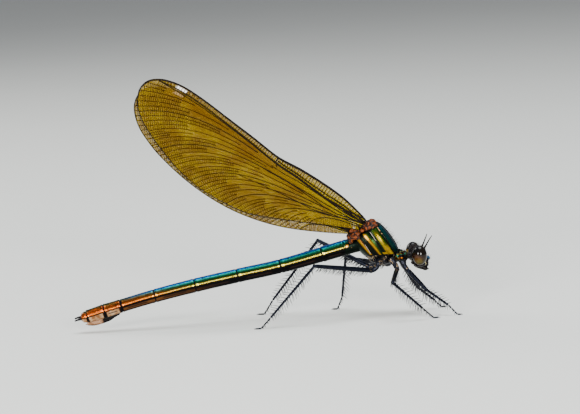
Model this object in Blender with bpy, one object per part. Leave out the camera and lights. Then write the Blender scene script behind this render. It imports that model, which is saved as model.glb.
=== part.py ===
"""A female damselfly at rest, life size: slim metallic body, closed amber wings, six legs on flat ground.

Sizes are in millimetres and turn into metres through MM. The insect faces +X, its left side is +Y,
and it stands on z = 0.
"""

import math

import bmesh
import bpy
from mathutils import Matrix, Vector

MM = 0.001
GAP = 0.3
SIDES = (("left", 1), ("right", -1))

# Head, measured from the point midway between the eyes
HEAD_CENTRE = Vector((19.84, 0.0, 7.9))
HEAD_TURN = math.radians(6)
EYE_RADII = Vector((0.95, 0.98, 1.29))
EYE_OFFSET = 1.95
EYE_INNER_FACE = 1.4
# Rows across the head: side place, shift ahead, half length and half height; the nape is hollow
HEAD_ROWS = (
    (-1.1, -0.05, 0.74, 1.02), (-0.75, -0.02, 0.76, 1.0), (-0.35, 0.20, 0.60, 0.98),
    (0.35, 0.20, 0.60, 0.98), (0.75, -0.02, 0.76, 1.0), (1.1, -0.05, 0.74, 1.02),
)
# Rounded forms fused to the head, each a centre and three radii: brow, nose shield, jaw
# and the three simple eyes on top
FACE_FORMS = (
    ((0.52, 0.0, 0.06), (0.66, 1.08, 0.72)),
    ((0.96, 0.0, -0.58), (0.72, 0.72, 0.38)),
    ((0.52, 0.0, -1.08), (0.74, 1.02, 0.78)),
    ((0.84, 0.0, 0.64), (0.15, 0.15, 0.15)),
    ((0.50, 0.40, 0.76), (0.16, 0.16, 0.15)),
    ((0.50, -0.40, 0.76), (0.16, 0.16, 0.15)),
)
# Mouthparts: centre, three radii and how far the front end dips
LABRUM = ((1.12, 0.0, -1.32), (0.44, 0.60, 0.38), 12)
LABIUM = ((0.50, 0.0, -1.92), (0.96, 0.66, 0.34), 17)
ANTENNA_ROOT = (0.85, 0.62, 0.25)
ANTENNA_RISE = (0.52, 0.12, 0.85)
ANTENNA_BOW = 0.10
ANTENNA_LENGTH = 1.9
# Stations along a feeler: share of its length and radius
ANTENNA_STATIONS = ((0.0, 0.25), (0.3, 0.25), (0.6, 0.21), (1.0, 0.10))
NECK_LINE = ((18.2, 0.0, 7.62), (18.9, 0.0, 7.68), (20.0, 0.0, 7.78))
NECK_RADIUS = 0.42
NECK_GAP = 0.2

# Thorax, a leaning box whose rows run from the wing bases down to the legs:
# centre x and z, half length, half width and lean in degrees
THORAX_ROWS = (
    (13.28, 11.58, 1.35, 0.75, 31),
    (13.22, 11.28, 1.95, 1.20, 31),
    (13.62, 10.70, 2.16, 1.58, 30),
    (14.15, 9.98, 2.25, 1.80, 27),
    (14.72, 9.20, 2.24, 1.80, 23),
    (15.22, 8.52, 2.12, 1.60, 19),
    (15.58, 7.90, 1.88, 1.22, 14),
    (15.72, 7.45, 1.30, 0.75, 10),
)
PRONOTUM_ROWS = (
    (17.10, 7.75, 0.75, 0.90),
    (17.50, 7.72, 0.95, 1.15),
    (17.90, 7.66, 0.88, 1.12),
    (18.28, 7.62, 0.80, 0.95),
    (18.55, 7.62, 0.52, 0.62),
)
WING_BASE_FORE = (13.86, 12.22, 1.00, 1.25, 0.72)
WING_BASE_HIND = (12.00, 11.10, 0.98, 1.15, 0.72)
WING_BASE_LEAN = math.radians(31)

# Abdomen, walked segment by segment from the thorax to the tail
ABDOMEN_START = Vector((11.55, 0.0, 9.40))
SEGMENT_LENGTHS = (1.25, 3.0, 5.6, 5.72, 5.66, 5.4, 4.5, 2.3, 2.35, 0.85)
SEGMENT_PITCH = (12, 13.2, 12.5, 9.2, 9.7, 11.3, 13.4, 13.9, 14.5, 15.5)
SEGMENT_RADII = (
    (1.00, 1.02), (1.04, 1.02), (1.00, 0.94), (0.93, 0.93), (0.93, 0.93),
    (0.93, 0.90), (0.89, 0.87), (0.88, 0.93), (0.93, 0.84), (0.78, 0.55),
)
ABDOMEN_WIDTH = 0.94
# Stations along a segment: share of its length and how far its skin is raised there
SEGMENT_STATIONS = ((0.0, 0.0), (0.06, 0.05), (0.5, 0.0), (0.92, 0.02), (1.0, 0.05))
# The first segment starts this far inside the thorax, and is then cut clear of it
ABDOMEN_SUNK = 0.8
CERCUS_LENGTH = 0.75
CERCUS_SIDE = 0.30
CERCUS_SPREAD = 0.15
CERCUS_RADII = (0.22, 0.22, 0.09)
OVIPOSITOR_ROWS = (
    (-19.7, 2.10, 0.18, 0.20), (-20.6, 1.86, 0.45, 0.34), (-21.8, 1.64, 0.58, 0.38),
    (-22.7, 1.42, 0.50, 0.32), (-23.5, 1.26, 0.28, 0.20),
)

# Wings: root, tip direction in degrees above the tail side, length, side offset at root and at tip
WING_THICKNESS = 0.5
WING_TIP_THICKNESS = 0.25
WING_TAPER_START = 0.35
VEIN_HEIGHT = 0.08
VEIN_HALF_WIDTH = 0.16
WING_ROWS = 16
FORE_WING = {
    "root": (12.8, 12.25), "angle": 33.9, "length": 33.43, "offsets": (1.38, 0.92),
    "outline": (
        (0.0, 0.76), (0.051, 1.21), (0.113, 1.64), (0.2, 1.9), (0.31, 1.98), (0.41, 1.84),
        (0.534, 2.37), (0.66, 2.85), (0.767, 3.27), (0.86, 3.42), (0.925, 3.12), (0.968, 2.55),
        (0.997, 1.69), (1.008, 0.6), (1.003, -0.4), (0.983, -1.65), (0.943, -2.86),
        (0.89, -3.85), (0.817, -4.92), (0.73, -5.95), (0.612, -6.72), (0.462, -6.6),
        (0.372, -5.93), (0.233, -4.06), (0.119, -2.4), (0.05, -1.45), (0.0, -0.79),
    ),
}
HIND_WING = {
    "root": (11.3, 11.4), "angle": 34.81, "length": 32.76, "offsets": (0.46, 0.30),
    "outline": (
        (0.0, 0.42), (0.042, 0.95), (0.126, 1.68), (0.2, 2.1), (0.307, 2.38), (0.413, 2.53),
        (0.52, 2.95), (0.625, 3.3), (0.747, 3.72), (0.822, 3.82), (0.88, 3.65), (0.93, 3.12),
        (0.971, 2.3), (0.995, 1.4), (1.0, 0.3), (0.99, -0.9), (0.964, -2.0), (0.924, -3.01),
        (0.87, -3.85), (0.8, -4.65), (0.684, -5.47), (0.565, -5.84), (0.455, -5.76),
        (0.353, -5.25), (0.257, -4.39), (0.167, -3.21), (0.081, -1.85), (0.0, -0.45),
    ),
}
# Where each main vein ends along the rim, as a share of the rim from front root to hind root
VEIN_ENDS = (0.495, 0.545, 0.60, 0.665, 0.73, 0.79, 0.85)
LEADING_END = 0.45
TRAILING_END = 0.91

# Legs: coxa, trochanter, knee, ankle, sole and toe, on the left side at positive y
LEGS = {
    "front_right": ((17.85, -0.45, 7.45), (18.05, -0.90, 6.55), (18.45, -1.10, 5.95),
                    (20.73, -2.20, 3.32), (23.35, -3.25, 1.35), (24.45, -3.50, 0.20),
                    (24.88, -3.60, 0.19)),
    "front_left": ((17.85, 0.45, 7.45), (18.05, 0.90, 6.55), (18.40, 1.05, 5.90),
                   (20.20, 1.90, 3.00), (22.35, 2.75, 1.10), (23.25, 3.10, 0.20),
                   (23.80, 3.25, 0.19)),
    "mid_right": ((16.30, -0.75, 7.65), (16.80, -1.15, 6.85), (17.05, -1.65, 6.25),
                  (15.86, -6.20, 5.20), (19.75, -5.40, 1.45), (21.15, -5.00, 0.20),
                  (21.75, -4.85, 0.19)),
    "mid_left": ((16.15, 0.75, 7.70), (16.40, 1.15, 6.85), (16.25, 1.60, 6.45),
                 (11.00, 5.10, 7.10), (10.40, 6.25, 1.70), (9.75, 6.45, 0.20),
                 (9.15, 6.50, 0.19)),
    "hind_right": ((15.05, -0.70, 7.60), (14.55, -1.25, 6.75), (13.80, -1.50, 6.20),
                   (6.07, -4.20, 7.63), (0.02, -5.00, 1.35), (-1.20, -5.20, 0.20),
                   (-1.95, -5.30, 0.19)),
    "hind_left": ((15.05, 0.70, 7.60), (14.55, 1.25, 6.75), (13.80, 1.50, 6.25),
                  (7.35, 4.50, 9.75), (1.05, 5.55, 1.90), (-0.10, 5.80, 0.20),
                  (-0.90, 5.95, 0.19)),
}
LEG_RADII = (0.50, 0.50, 0.36, 0.29, 0.26, 0.25, 0.22)
LEG_SIDES = 8
KNEE_BEND = 0.45


def clear_scene():
    for old in list(bpy.data.objects):
        bpy.data.objects.remove(old)


def make_material(name, colour, roughness, metallic):
    material = bpy.data.materials.new(name)
    material.use_nodes = True
    shader = material.node_tree.nodes["Principled BSDF"]
    shader.inputs["Base Color"].default_value = (*colour, 1.0)
    shader.inputs["Roughness"].default_value = roughness
    shader.inputs["Metallic"].default_value = metallic
    return material


def smooth_path(points, count):
    """Evenly spaced points along a curve that passes through all the given ones."""
    ends = [points[0] * 2 - points[1], *points, points[-1] * 2 - points[-2]]
    fine = []
    steps = 12
    for before, start, end, after in zip(ends, ends[1:], ends[2:], ends[3:]):
        for step in range(steps):
            t = step / steps
            bend = start * 2 + (end - before) * t
            bend += (before * 2 - start * 5 + end * 4 - after) * t * t
            bend += (start * 3 - before - end * 3 + after) * t ** 3
            fine.append(bend * 0.5)
    fine.append(points[-1])
    return spread(fine, count)


def spread(points, count, closer=1.0):
    """Points at equal distances along the line through the given ones, or closer towards its end."""
    lengths = [0.0]
    for start, end in zip(points, points[1:]):
        lengths.append(lengths[-1] + (end - start).length)
    spaced = []
    place = 0
    for index in range(count):
        wanted = lengths[-1] * (1 - (1 - index / (count - 1)) ** closer)
        while place < len(points) - 2 and lengths[place + 1] < wanted:
            place += 1
        share = (wanted - lengths[place]) / (lengths[place + 1] - lengths[place])
        spaced.append(points[place].lerp(points[place + 1], share))
    return spaced


def add_ring(mesh, centre, across, along, sides):
    """One closed loop of points round a centre; across and along are its two half axes."""
    normal = across.cross(along).normalized()
    placed = Matrix((across, along, normal)).transposed().to_4x4()
    placed.translation = centre
    made = bmesh.ops.create_circle(mesh, segments=sides, radius=1.0, matrix=placed)
    return made["verts"]


def loft(rings, sides):
    """A closed skin drawn over rings given as (centre, half axis across, half axis along)."""
    mesh = bmesh.new()
    loops = [add_ring(mesh, *ring, sides) for ring in rings]
    for loop, following in zip(loops, loops[1:]):
        for index in range(sides):
            after = (index + 1) % sides
            mesh.faces.new((loop[index], loop[after], following[after], following[index]))
    mesh.faces.new(loops[0])
    mesh.faces.new(loops[-1])
    bmesh.ops.recalc_face_normals(mesh, faces=mesh.faces)
    return mesh


def tube(points, radii, sides):
    """A round bar along a line of points, its ends closed."""
    rings = []
    across = None
    for index, point in enumerate(points):
        before = points[max(index - 1, 0)]
        after = points[min(index + 1, len(points) - 1)]
        heading = (after - before).normalized()
        if across is None:
            across = heading.orthogonal().normalized()
        across = (across - heading * across.dot(heading)).normalized()
        along = heading.cross(across)
        rings.append((point, across * radii[index], along * radii[index]))
    return loft(rings, sides)


def ball(centre, radii, turn=None, segments=20, rings=12):
    """A sphere stretched to three radii, then turned about its centre."""
    mesh = bmesh.new()
    stretch = Matrix.Diagonal((*radii, 1.0))
    turned = turn.to_4x4() if turn else Matrix.Identity(4)
    placed = Matrix.Translation(centre) @ turned @ stretch
    bmesh.ops.create_uvsphere(mesh, u_segments=segments, v_segments=rings, radius=1.0, matrix=placed)
    return mesh


def slice_off(mesh, point, outward):
    """Cuts away all that lies beyond a plane and closes the cut with a flat face."""
    cut = bmesh.ops.bisect_plane(
        mesh, geom=[*mesh.verts, *mesh.edges, *mesh.faces], plane_co=point, plane_no=outward,
        clear_outer=True,
    )
    rim = [part for part in cut["geom_cut"] if isinstance(part, bmesh.types.BMEdge)]
    bmesh.ops.contextual_create(mesh, geom=rim)
    bmesh.ops.recalc_face_normals(mesh, faces=mesh.faces)


def add_part(name, mesh, material, root):
    """Makes the object of a part from its mesh in millimetres, with its origin at its root."""
    bmesh.ops.scale(mesh, vec=Vector((MM, MM, MM)), verts=mesh.verts)
    data = bpy.data.meshes.new(name)
    mesh.to_mesh(data)
    mesh.free()
    part = bpy.data.objects.new(name, data)
    bpy.context.scene.collection.objects.link(part)
    part.data.materials.append(material)
    part["root"] = [value * MM for value in root]
    return part


def apply_modifiers(part):
    """Turns what the modifiers show into the part's own mesh."""
    graph = bpy.context.evaluated_depsgraph_get()
    result = bpy.data.meshes.new_from_object(part.evaluated_get(graph))
    part.modifiers.clear()
    part.data = result


def keep_largest(part):
    """Drops every loose scrap and sealed hollow that a Boolean leaves."""
    mesh = bmesh.new()
    mesh.from_mesh(part.data)
    left = set(mesh.verts)
    shells = []
    while left:
        shell = []
        waiting = [left.pop()]
        while waiting:
            vert = waiting.pop()
            shell.append(vert)
            near = {link.other_vert(vert) for link in vert.link_edges} & left
            left -= near
            waiting.extend(near)
        shells.append(shell)
    largest = max(shells, key=shell_area)
    spare = [vert for shell in shells if shell is not largest for vert in shell]
    bmesh.ops.delete(mesh, geom=spare, context="VERTS")
    mesh.to_mesh(part.data)
    mesh.free()


def shell_area(shell):
    return sum(face.calc_area() for face in {face for vert in shell for face in vert.link_faces})


def fuse(part, others):
    """Joins further closed meshes to a part, in one Boolean union."""
    group = bpy.data.collections.new(part.name + "_pieces")
    bpy.context.scene.collection.children.link(group)
    for other in others:
        bpy.context.scene.collection.objects.unlink(other)
        group.objects.link(other)
    union = part.modifiers.new("Union", "BOOLEAN")
    union.operation = "UNION"
    union.operand_type = "COLLECTION"
    union.collection = group
    apply_modifiers(part)
    for other in list(group.objects):
        bpy.data.objects.remove(other)
    bpy.data.collections.remove(group)
    keep_largest(part)


def cut_clear(part, neighbours, gap=GAP):
    """Cuts a part back until it stands the gap away from each neighbour that it grows from."""
    for neighbour in neighbours:
        cutter = neighbour.copy()
        cutter.data = neighbour.data.copy()
        bpy.context.scene.collection.objects.link(cutter)
        swell = cutter.modifiers.new("Swell", "DISPLACE")
        swell.mid_level = 0.0
        swell.strength = gap * MM
        apply_modifiers(cutter)
        difference = part.modifiers.new("Clear", "BOOLEAN")
        difference.operation = "DIFFERENCE"
        difference.object = cutter
        # The exact solver leaves open edges where a swelled neighbour crosses itself
        difference.solver = "MANIFOLD"
        apply_modifiers(part)
        bpy.data.objects.remove(cutter)
        keep_largest(part)


def upright_ring(x, z, half_height, half_width, lean=90.0, y=0.0):
    """A ring whose long axis leans in the side view, 90 degrees being straight up."""
    along = Vector((math.cos(math.radians(lean)), 0.0, math.sin(math.radians(lean))))
    return Vector((x, y, z)), Vector((0.0, half_width, 0.0)), along * half_height


def head_point(x, y, z):
    """A place on the turned head, from its centre."""
    return HEAD_CENTRE + Matrix.Rotation(HEAD_TURN, 3, "Z") @ Vector((x, y, z))


def make_thorax(metal, rust):
    rings = [upright_ring(x, z, length, width, lean) for x, z, length, width, lean in THORAX_ROWS]
    thorax = add_part("thorax", loft(rings, 24), metal, (14.4, 0.0, 9.6))
    lean = Matrix.Rotation(-WING_BASE_LEAN, 3, "Y")
    bases = []
    for name, (x, z, length, width, height) in (
        ("wing_base_fore", WING_BASE_FORE), ("wing_base_hind", WING_BASE_HIND),
    ):
        centre = Vector((x, 0.0, z))
        mesh = ball(centre, (length, width, height), lean, 18, 10)
        base = add_part(name, mesh, rust, centre)
        cut_clear(base, [thorax, *bases])
        bases.append(base)
    return thorax, bases


def make_pronotum(thorax, metal):
    rings = [upright_ring(*row) for row in PRONOTUM_ROWS]
    pronotum = add_part("prothorax", loft(rings, 18), metal, (17.6, 0.0, 7.7))
    cut_clear(pronotum, [thorax])
    return pronotum


def make_head(dark, eye_skin, horn):
    turn = Matrix.Rotation(HEAD_TURN, 3, "Z")
    rings = []
    for y, ahead, length, height in HEAD_ROWS:
        across = turn @ Vector((length, 0.0, 0.0))
        rings.append((head_point(ahead, y, 0.05), across, Vector((0.0, 0.0, height))))
    head = add_part("head", loft(rings, 22), dark, HEAD_CENTRE)
    forms = [ball(head_point(*centre), radii, turn, 18, 12) for centre, radii in FACE_FORMS]
    fuse(head, [add_part("form", mesh, dark, HEAD_CENTRE) for mesh in forms])
    mouthparts = []
    for name, (centre, radii, dip) in (("labrum", LABRUM), ("labium", LABIUM)):
        dipped = turn @ Matrix.Rotation(math.radians(dip), 3, "Y")
        mesh = ball(head_point(*centre), radii, dipped, 18, 12)
        mouthparts.append(add_part(name, mesh, dark, head_point(*centre)))
    cut_clear(mouthparts[1], mouthparts[:1])
    cut_clear(head, mouthparts)
    for side, sign in SIDES:
        mesh = ball(head_point(0.0, sign * EYE_OFFSET, 0.0), EYE_RADII, turn, 26, 16)
        inner = head_point(0.0, sign * EYE_INNER_FACE, 0.0)
        slice_off(mesh, inner, turn @ Vector((0.0, -sign, 0.0)))
        cut_clear(add_part(f"eye_{side}", mesh, eye_skin, inner), [head])
        cut_clear(add_part(f"antenna_{side}", *antenna(turn, sign, horn)), [head])
    return head


def antenna(turn, sign, horn):
    """The mesh, material and root of one feeler."""
    root = head_point(ANTENNA_ROOT[0], sign * ANTENNA_ROOT[1], ANTENNA_ROOT[2])
    rise = turn @ Vector((ANTENNA_RISE[0], sign * ANTENNA_RISE[1], ANTENNA_RISE[2])).normalized()
    bow = turn @ Vector((ANTENNA_BOW, 0.0, 0.0))
    points = [root + rise * ANTENNA_LENGTH * share + bow * share * share for share, _ in ANTENNA_STATIONS]
    return tube(points, [radius for _, radius in ANTENNA_STATIONS], 8), horn, root


def make_neck(head, pronotum, dark):
    points = [Vector(place) for place in NECK_LINE]
    neck = add_part("neck", tube(points, [NECK_RADIUS] * len(points), 12), dark, points[1])
    cut_clear(neck, [pronotum, head], NECK_GAP)


def abdomen_joints():
    """The middle of the abdomen at each joint, from the thorax to the tail."""
    joints = [ABDOMEN_START]
    for length, pitch in zip(SEGMENT_LENGTHS, SEGMENT_PITCH):
        drop = math.radians(pitch)
        joints.append(joints[-1] + Vector((-math.cos(drop), 0.0, -math.sin(drop))) * length)
    return joints


def make_abdomen(thorax, metal, copper, horn):
    joints = abdomen_joints()
    segments = []
    for index, (start, end) in enumerate(zip(joints, joints[1:])):
        first, last = SEGMENT_RADII[index]
        heading = (end - start).normalized()
        lean = 90.0 + SEGMENT_PITCH[index]
        inner = start + heading * (GAP / 2 if index else -ABDOMEN_SUNK)
        outer = end - heading * GAP / 2
        rings = []
        for share, raised in SEGMENT_STATIONS:
            centre = inner.lerp(outer, share)
            radius = first + (last - first) * share + raised
            rings.append(upright_ring(centre.x, centre.z, radius, radius * ABDOMEN_WIDTH, lean))
        skin = copper if index > 5 else metal
        segments.append(add_part(f"abdomen_{index + 1}", loft(rings, 16), skin, start))
    cut_clear(segments[0], [thorax])
    heading = (joints[-1] - joints[-2]).normalized()
    for side, sign in SIDES:
        spread_out = Vector((0.0, sign, 0.0))
        root = joints[-1] + heading * GAP / 2 + spread_out * CERCUS_SIDE
        reach = (heading + spread_out * CERCUS_SPREAD) * CERCUS_LENGTH
        points = [root, root + reach * 0.45, root + reach]
        add_part(f"cercus_{side}", tube(points, CERCUS_RADII, 8), horn, root)
    rings = [upright_ring(*row) for row in OVIPOSITOR_ROWS]
    ovipositor = add_part("ovipositor", loft(rings, 14), copper, (-20.6, 0.0, 2.0))
    cut_clear(ovipositor, segments[7:])


def vein_line(rim, end, shift):
    """A vein that leaves the root along the wing, arches, and comes down to the rim."""
    front, hind = rim[0], rim[-1]
    span = (end - LEADING_END) / (TRAILING_END - LEADING_END)
    start = front.lerp(hind, 0.25 + 0.5 * span)
    place = (end + shift) * (len(rim) - 1)
    whole = min(int(place), len(rim) - 2)
    finish = rim[whole].lerp(rim[whole + 1], place - whole)
    chord = finish - start
    leave = Matrix.Rotation(math.radians(3 + 13 * span), 2) @ chord
    arrive = Matrix.Rotation(math.radians(-4 - 22 * span), 2) @ chord
    handles = (start, start + leave * 0.4, finish - arrive * 0.33, finish)
    line = []
    for row in range(WING_ROWS):
        t = row / (WING_ROWS - 1)
        weights = ((1 - t) ** 3, 3 * t * (1 - t) ** 2, 3 * t * t * (1 - t), t ** 3)
        line.append(sum((handle * weight for handle, weight in zip(handles, weights)), Vector((0, 0))))
    return line


def wing_columns(wing):
    """Lines from root to rim across the wing, each with the share of the vein height it carries."""
    length = wing["length"]
    rim = smooth_path([Vector((along * length, across)) for along, across in wing["outline"]], 401)
    steps = len(rim) - 1
    rim_length = sum((end - start).length for start, end in zip(rim, rim[1:]))
    foot = VEIN_HALF_WIDTH / rim_length
    leading = spread(rim[: int(LEADING_END * steps) + 1], WING_ROWS, 1.35)
    trailing = spread(rim[: int(TRAILING_END * steps) - 1: -1], WING_ROWS)
    columns = [(leading, 1.0)]
    stops = [LEADING_END, *VEIN_ENDS, TRAILING_END]
    for before, end in zip(stops, stops[1:]):
        columns.append((vein_line(rim, (before + end) / 2, 0.0), 0.0))
        if end == TRAILING_END:
            break
        for shift, height in ((-foot, 0.0), (0.0, 1.0), (foot, 0.0)):
            columns.append((vein_line(rim, end, shift), height))
    columns.append((trailing, 1.0))
    return columns


def plate_half(row):
    """Half the thickness of a wing's plate at a row from root to rim."""
    share = (row / (WING_ROWS - 1) - WING_TAPER_START) / (1 - WING_TAPER_START)
    thinner = min(max(share, 0.0), 1.0)
    return (WING_THICKNESS + (WING_TIP_THICKNESS - WING_THICKNESS) * thinner) / 2


def wing_mesh(wing, sign):
    """A thin plate with its veins raised on both faces, split into triangles alike on both."""
    columns = wing_columns(wing)
    root = Vector((wing["root"][0], 0.0, wing["root"][1]))
    angle = math.radians(wing["angle"])
    along = Vector((-math.cos(angle), 0.0, math.sin(angle)))
    across = Vector((math.sin(angle), 0.0, math.cos(angle)))
    near, far = wing["offsets"]
    mesh = bmesh.new()
    faces = []
    for face in (1, -1):
        grid = []
        for line, vein in columns:
            verts = []
            for row, point in enumerate(line):
                share = min(max(point.x / wing["length"], 0.0), 1.0)
                raised = VEIN_HEIGHT * vein * min(row / 2, 1.0)
                side = sign * (near + (far - near) * share) + face * (plate_half(row) + raised)
                place = root + along * point.x + across * point.y
                verts.append(mesh.verts.new((place.x, side, place.z)))
            grid.append(verts)
        faces.append(grid)
    last = WING_ROWS - 1
    for grid in faces:
        for line, following in zip(grid, grid[1:]):
            for row in range(last):
                mesh.faces.new((line[row], following[row], following[row + 1]))
                mesh.faces.new((line[row], following[row + 1], line[row + 1]))
    edge = [(column, 0) for column in range(len(columns))]
    edge += [(len(columns) - 1, row) for row in range(1, last + 1)]
    edge += [(column, last) for column in range(len(columns) - 2, -1, -1)]
    edge += [(0, row) for row in range(last - 1, 0, -1)]
    for (column, row), (next_column, next_row) in zip(edge, edge[1:] + edge[:1]):
        mesh.faces.new((
            faces[0][column][row], faces[0][next_column][next_row],
            faces[1][next_column][next_row], faces[1][column][row],
        ))
    bmesh.ops.recalc_face_normals(mesh, faces=mesh.faces)
    return mesh


def make_wings(neighbours, membrane):
    for pair, wing in (("fore", FORE_WING), ("hind", HIND_WING)):
        for side, sign in SIDES:
            root = (wing["root"][0], sign * wing["offsets"][0], wing["root"][1])
            part = add_part(f"wing_{pair}_{side}", wing_mesh(wing, sign), membrane, root)
            cut_clear(part, neighbours)


def leg_mesh(joints):
    """A leg from coxa to toe, rounded at each joint and flat under the foot."""
    points = [joints[0]]
    radii = [LEG_RADII[0]]
    for index in range(1, len(joints) - 1):
        before, joint, after = joints[index - 1: index + 2]
        back = (before - joint).normalized() * min(KNEE_BEND, (before - joint).length * 0.4)
        ahead = (after - joint).normalized() * min(KNEE_BEND, (after - joint).length * 0.4)
        points += [joint + back, joint + (back + ahead) * 0.25, joint + ahead]
        radii += [LEG_RADII[index]] * 3
    points.append(joints[-1])
    radii.append(LEG_RADII[-1])
    mesh = tube(points, radii, LEG_SIDES)
    slice_off(mesh, Vector((0.0, 0.0, 0.0)), Vector((0.0, 0.0, -1.0)))
    return mesh


def make_legs(thorax, pronotum, chitin):
    for name, places in LEGS.items():
        joints = [Vector(place) for place in places]
        leg = add_part(f"leg_{name}", leg_mesh(joints), chitin, joints[1])
        cut_clear(leg, [pronotum, thorax] if name.startswith("front") else [thorax])


def place_parts():
    """Gives each part its origin at its root, under one empty, with smooth round faces."""
    base = bpy.data.objects.new("damselfly", None)
    bpy.context.scene.collection.objects.link(base)
    for part in list(bpy.data.objects):
        if part.type != "MESH":
            continue
        root = Vector(part["root"])
        part.data.transform(Matrix.Translation(-root))
        part.location = root
        part.parent = base
        part.data.shade_smooth()
        part.data.set_sharp_from_angle(angle=math.radians(40))


def main():
    clear_scene()
    metal = make_material("green_metal", (0.05, 0.22, 0.12), 0.28, 0.8)
    copper = make_material("copper_metal", (0.33, 0.14, 0.05), 0.35, 0.7)
    dark = make_material("dark_head", (0.03, 0.03, 0.05), 0.4, 0.2)
    eye_skin = make_material("eye", (0.06, 0.03, 0.015), 0.12, 0.0)
    horn = make_material("black_horn", (0.012, 0.012, 0.016), 0.45, 0.0)
    chitin = make_material("leg_blue_black", (0.02, 0.025, 0.05), 0.35, 0.2)
    rust = make_material("rust_brown", (0.22, 0.07, 0.03), 0.55, 0.0)
    membrane = make_material("amber_wing", (0.22, 0.13, 0.02), 0.3, 0.0)
    thorax, wing_bases = make_thorax(metal, rust)
    pronotum = make_pronotum(thorax, metal)
    head = make_head(dark, eye_skin, horn)
    make_neck(head, pronotum, dark)
    make_abdomen(thorax, metal, copper, horn)
    make_wings([thorax, *wing_bases], membrane)
    make_legs(thorax, pronotum, chitin)
    place_parts()


main()
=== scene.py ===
"""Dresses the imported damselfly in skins, veined wings, bristles and hairs, and sets up its studio.

Sizes are in millimetres, as in the solids, and turn into metres through MM. The insect faces +X,
its left side is +Y, and it stands on z = 0.
"""

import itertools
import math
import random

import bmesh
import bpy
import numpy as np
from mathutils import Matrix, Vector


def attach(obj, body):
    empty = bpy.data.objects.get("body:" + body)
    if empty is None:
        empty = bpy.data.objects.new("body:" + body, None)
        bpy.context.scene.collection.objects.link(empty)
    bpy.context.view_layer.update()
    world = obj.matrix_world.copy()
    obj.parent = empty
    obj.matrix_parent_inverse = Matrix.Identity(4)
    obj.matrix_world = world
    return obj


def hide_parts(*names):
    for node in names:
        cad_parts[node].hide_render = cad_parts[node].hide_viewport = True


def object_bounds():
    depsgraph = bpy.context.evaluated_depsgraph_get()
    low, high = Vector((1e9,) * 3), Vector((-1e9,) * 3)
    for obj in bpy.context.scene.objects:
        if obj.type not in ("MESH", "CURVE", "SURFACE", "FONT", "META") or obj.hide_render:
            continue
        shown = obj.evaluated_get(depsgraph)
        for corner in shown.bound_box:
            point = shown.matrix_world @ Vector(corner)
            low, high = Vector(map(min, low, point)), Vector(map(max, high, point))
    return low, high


bl_info = {
    "name": "Demoiselle damselfly",
    "version": (1, 0, 0),
    "blender": (4, 5, 0),
    "location": "3D View > Sidebar > Damselfly",
    "description": "Builds the look of a life-size female damselfly around its packed solids",
    "category": "Object",
}

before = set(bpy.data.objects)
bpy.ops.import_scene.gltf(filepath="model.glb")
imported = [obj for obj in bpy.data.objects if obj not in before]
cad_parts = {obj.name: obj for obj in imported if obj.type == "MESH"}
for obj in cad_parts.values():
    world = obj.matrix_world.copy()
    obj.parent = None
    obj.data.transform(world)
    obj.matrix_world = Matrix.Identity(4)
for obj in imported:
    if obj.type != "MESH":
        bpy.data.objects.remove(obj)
SOLID_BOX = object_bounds()

MM = 0.001
SIDES = (("left", 1), ("right", -1))

# Head, measured from the point midway between the eyes
HEAD_CENTRE = Vector((19.84, 0.0, 7.9))
HEAD_FACING = Matrix.Rotation(math.radians(6), 3, "Z")
EYE_RADII = (0.95, 0.98, 1.29)
EYE_OFFSET = 1.95
# Rows across the head: side place, shift ahead, half length and half height; the nape is hollow
HEAD_ROWS = (
    (-1.5, -0.05, 0.70, 0.98), (-1.1, -0.05, 0.75, 1.02), (-0.75, -0.02, 0.76, 1.0),
    (-0.35, 0.20, 0.60, 0.98), (0.35, 0.20, 0.60, 0.98), (0.75, -0.02, 0.76, 1.0),
    (1.1, -0.05, 0.75, 1.02), (1.5, -0.05, 0.70, 0.98),
)
# Rounded forms melted into the head: brow, shelf of the brow, nose shield, jaws and cheeks
FACE_FORMS = (
    ((0.52, 0.0, 0.06), (0.66, 1.12, 0.72)),
    ((0.76, 0.0, 0.28), (0.50, 0.80, 0.28)),
    ((1.00, 0.0, -0.72), (0.84, 0.68, 0.42)),
    ((0.52, 0.0, -1.08), (0.76, 1.05, 0.78)),
    ((0.96, 0.34, -1.18), (0.60, 0.36, 0.50)),
    ((0.96, -0.34, -1.18), (0.60, 0.36, 0.50)),
    ((0.20, 0.95, -1.32), (0.78, 0.70, 0.38)),
    ((0.20, -0.95, -1.32), (0.78, 0.70, 0.38)),
)
# Upper and lower lip: place, half sizes and dip in degrees; then the roots of the jaws
LABRUM = ((1.16, 0.0, -1.52), (0.44, 0.60, 0.38), 8)
LABIUM = ((0.50, 0.0, -1.82), (0.98, 0.66, 0.30), 19)
MANDIBLE = ((0.94, 0.66, -1.31), (0.16, 0.17, 0.25))
OCELLI = ((0.86, 0.0, 0.66), (0.50, 0.40, 0.80), (0.50, -0.40, 0.80))
OCELLUS_RADII = (0.13, 0.13, 0.12)
ANTENNA_ROOT = (0.79, 0.62, 0.36)
ANTENNA_RISE = (0.44, 0.12, 0.89)
NECK_LINE = ((17.9, 0.0, 7.60), (18.9, 0.0, 7.68), (20.1, 0.0, 7.80))
NECK_RADIUS = 0.42

# Thorax rows from the wing bases down to the legs: centre x and z, half length, half width, lean
THORAX_ROWS = (
    (13.28, 11.58, 1.35, 0.75, 31), (13.22, 11.28, 1.95, 1.20, 31), (13.62, 10.70, 2.16, 1.58, 30),
    (14.15, 9.98, 2.25, 1.80, 27), (14.72, 9.20, 2.24, 1.80, 23), (15.22, 8.52, 2.12, 1.60, 19),
    (15.58, 7.90, 1.88, 1.22, 14), (15.72, 7.45, 1.30, 0.75, 10),
)
BOXINESS = 2.5
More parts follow.
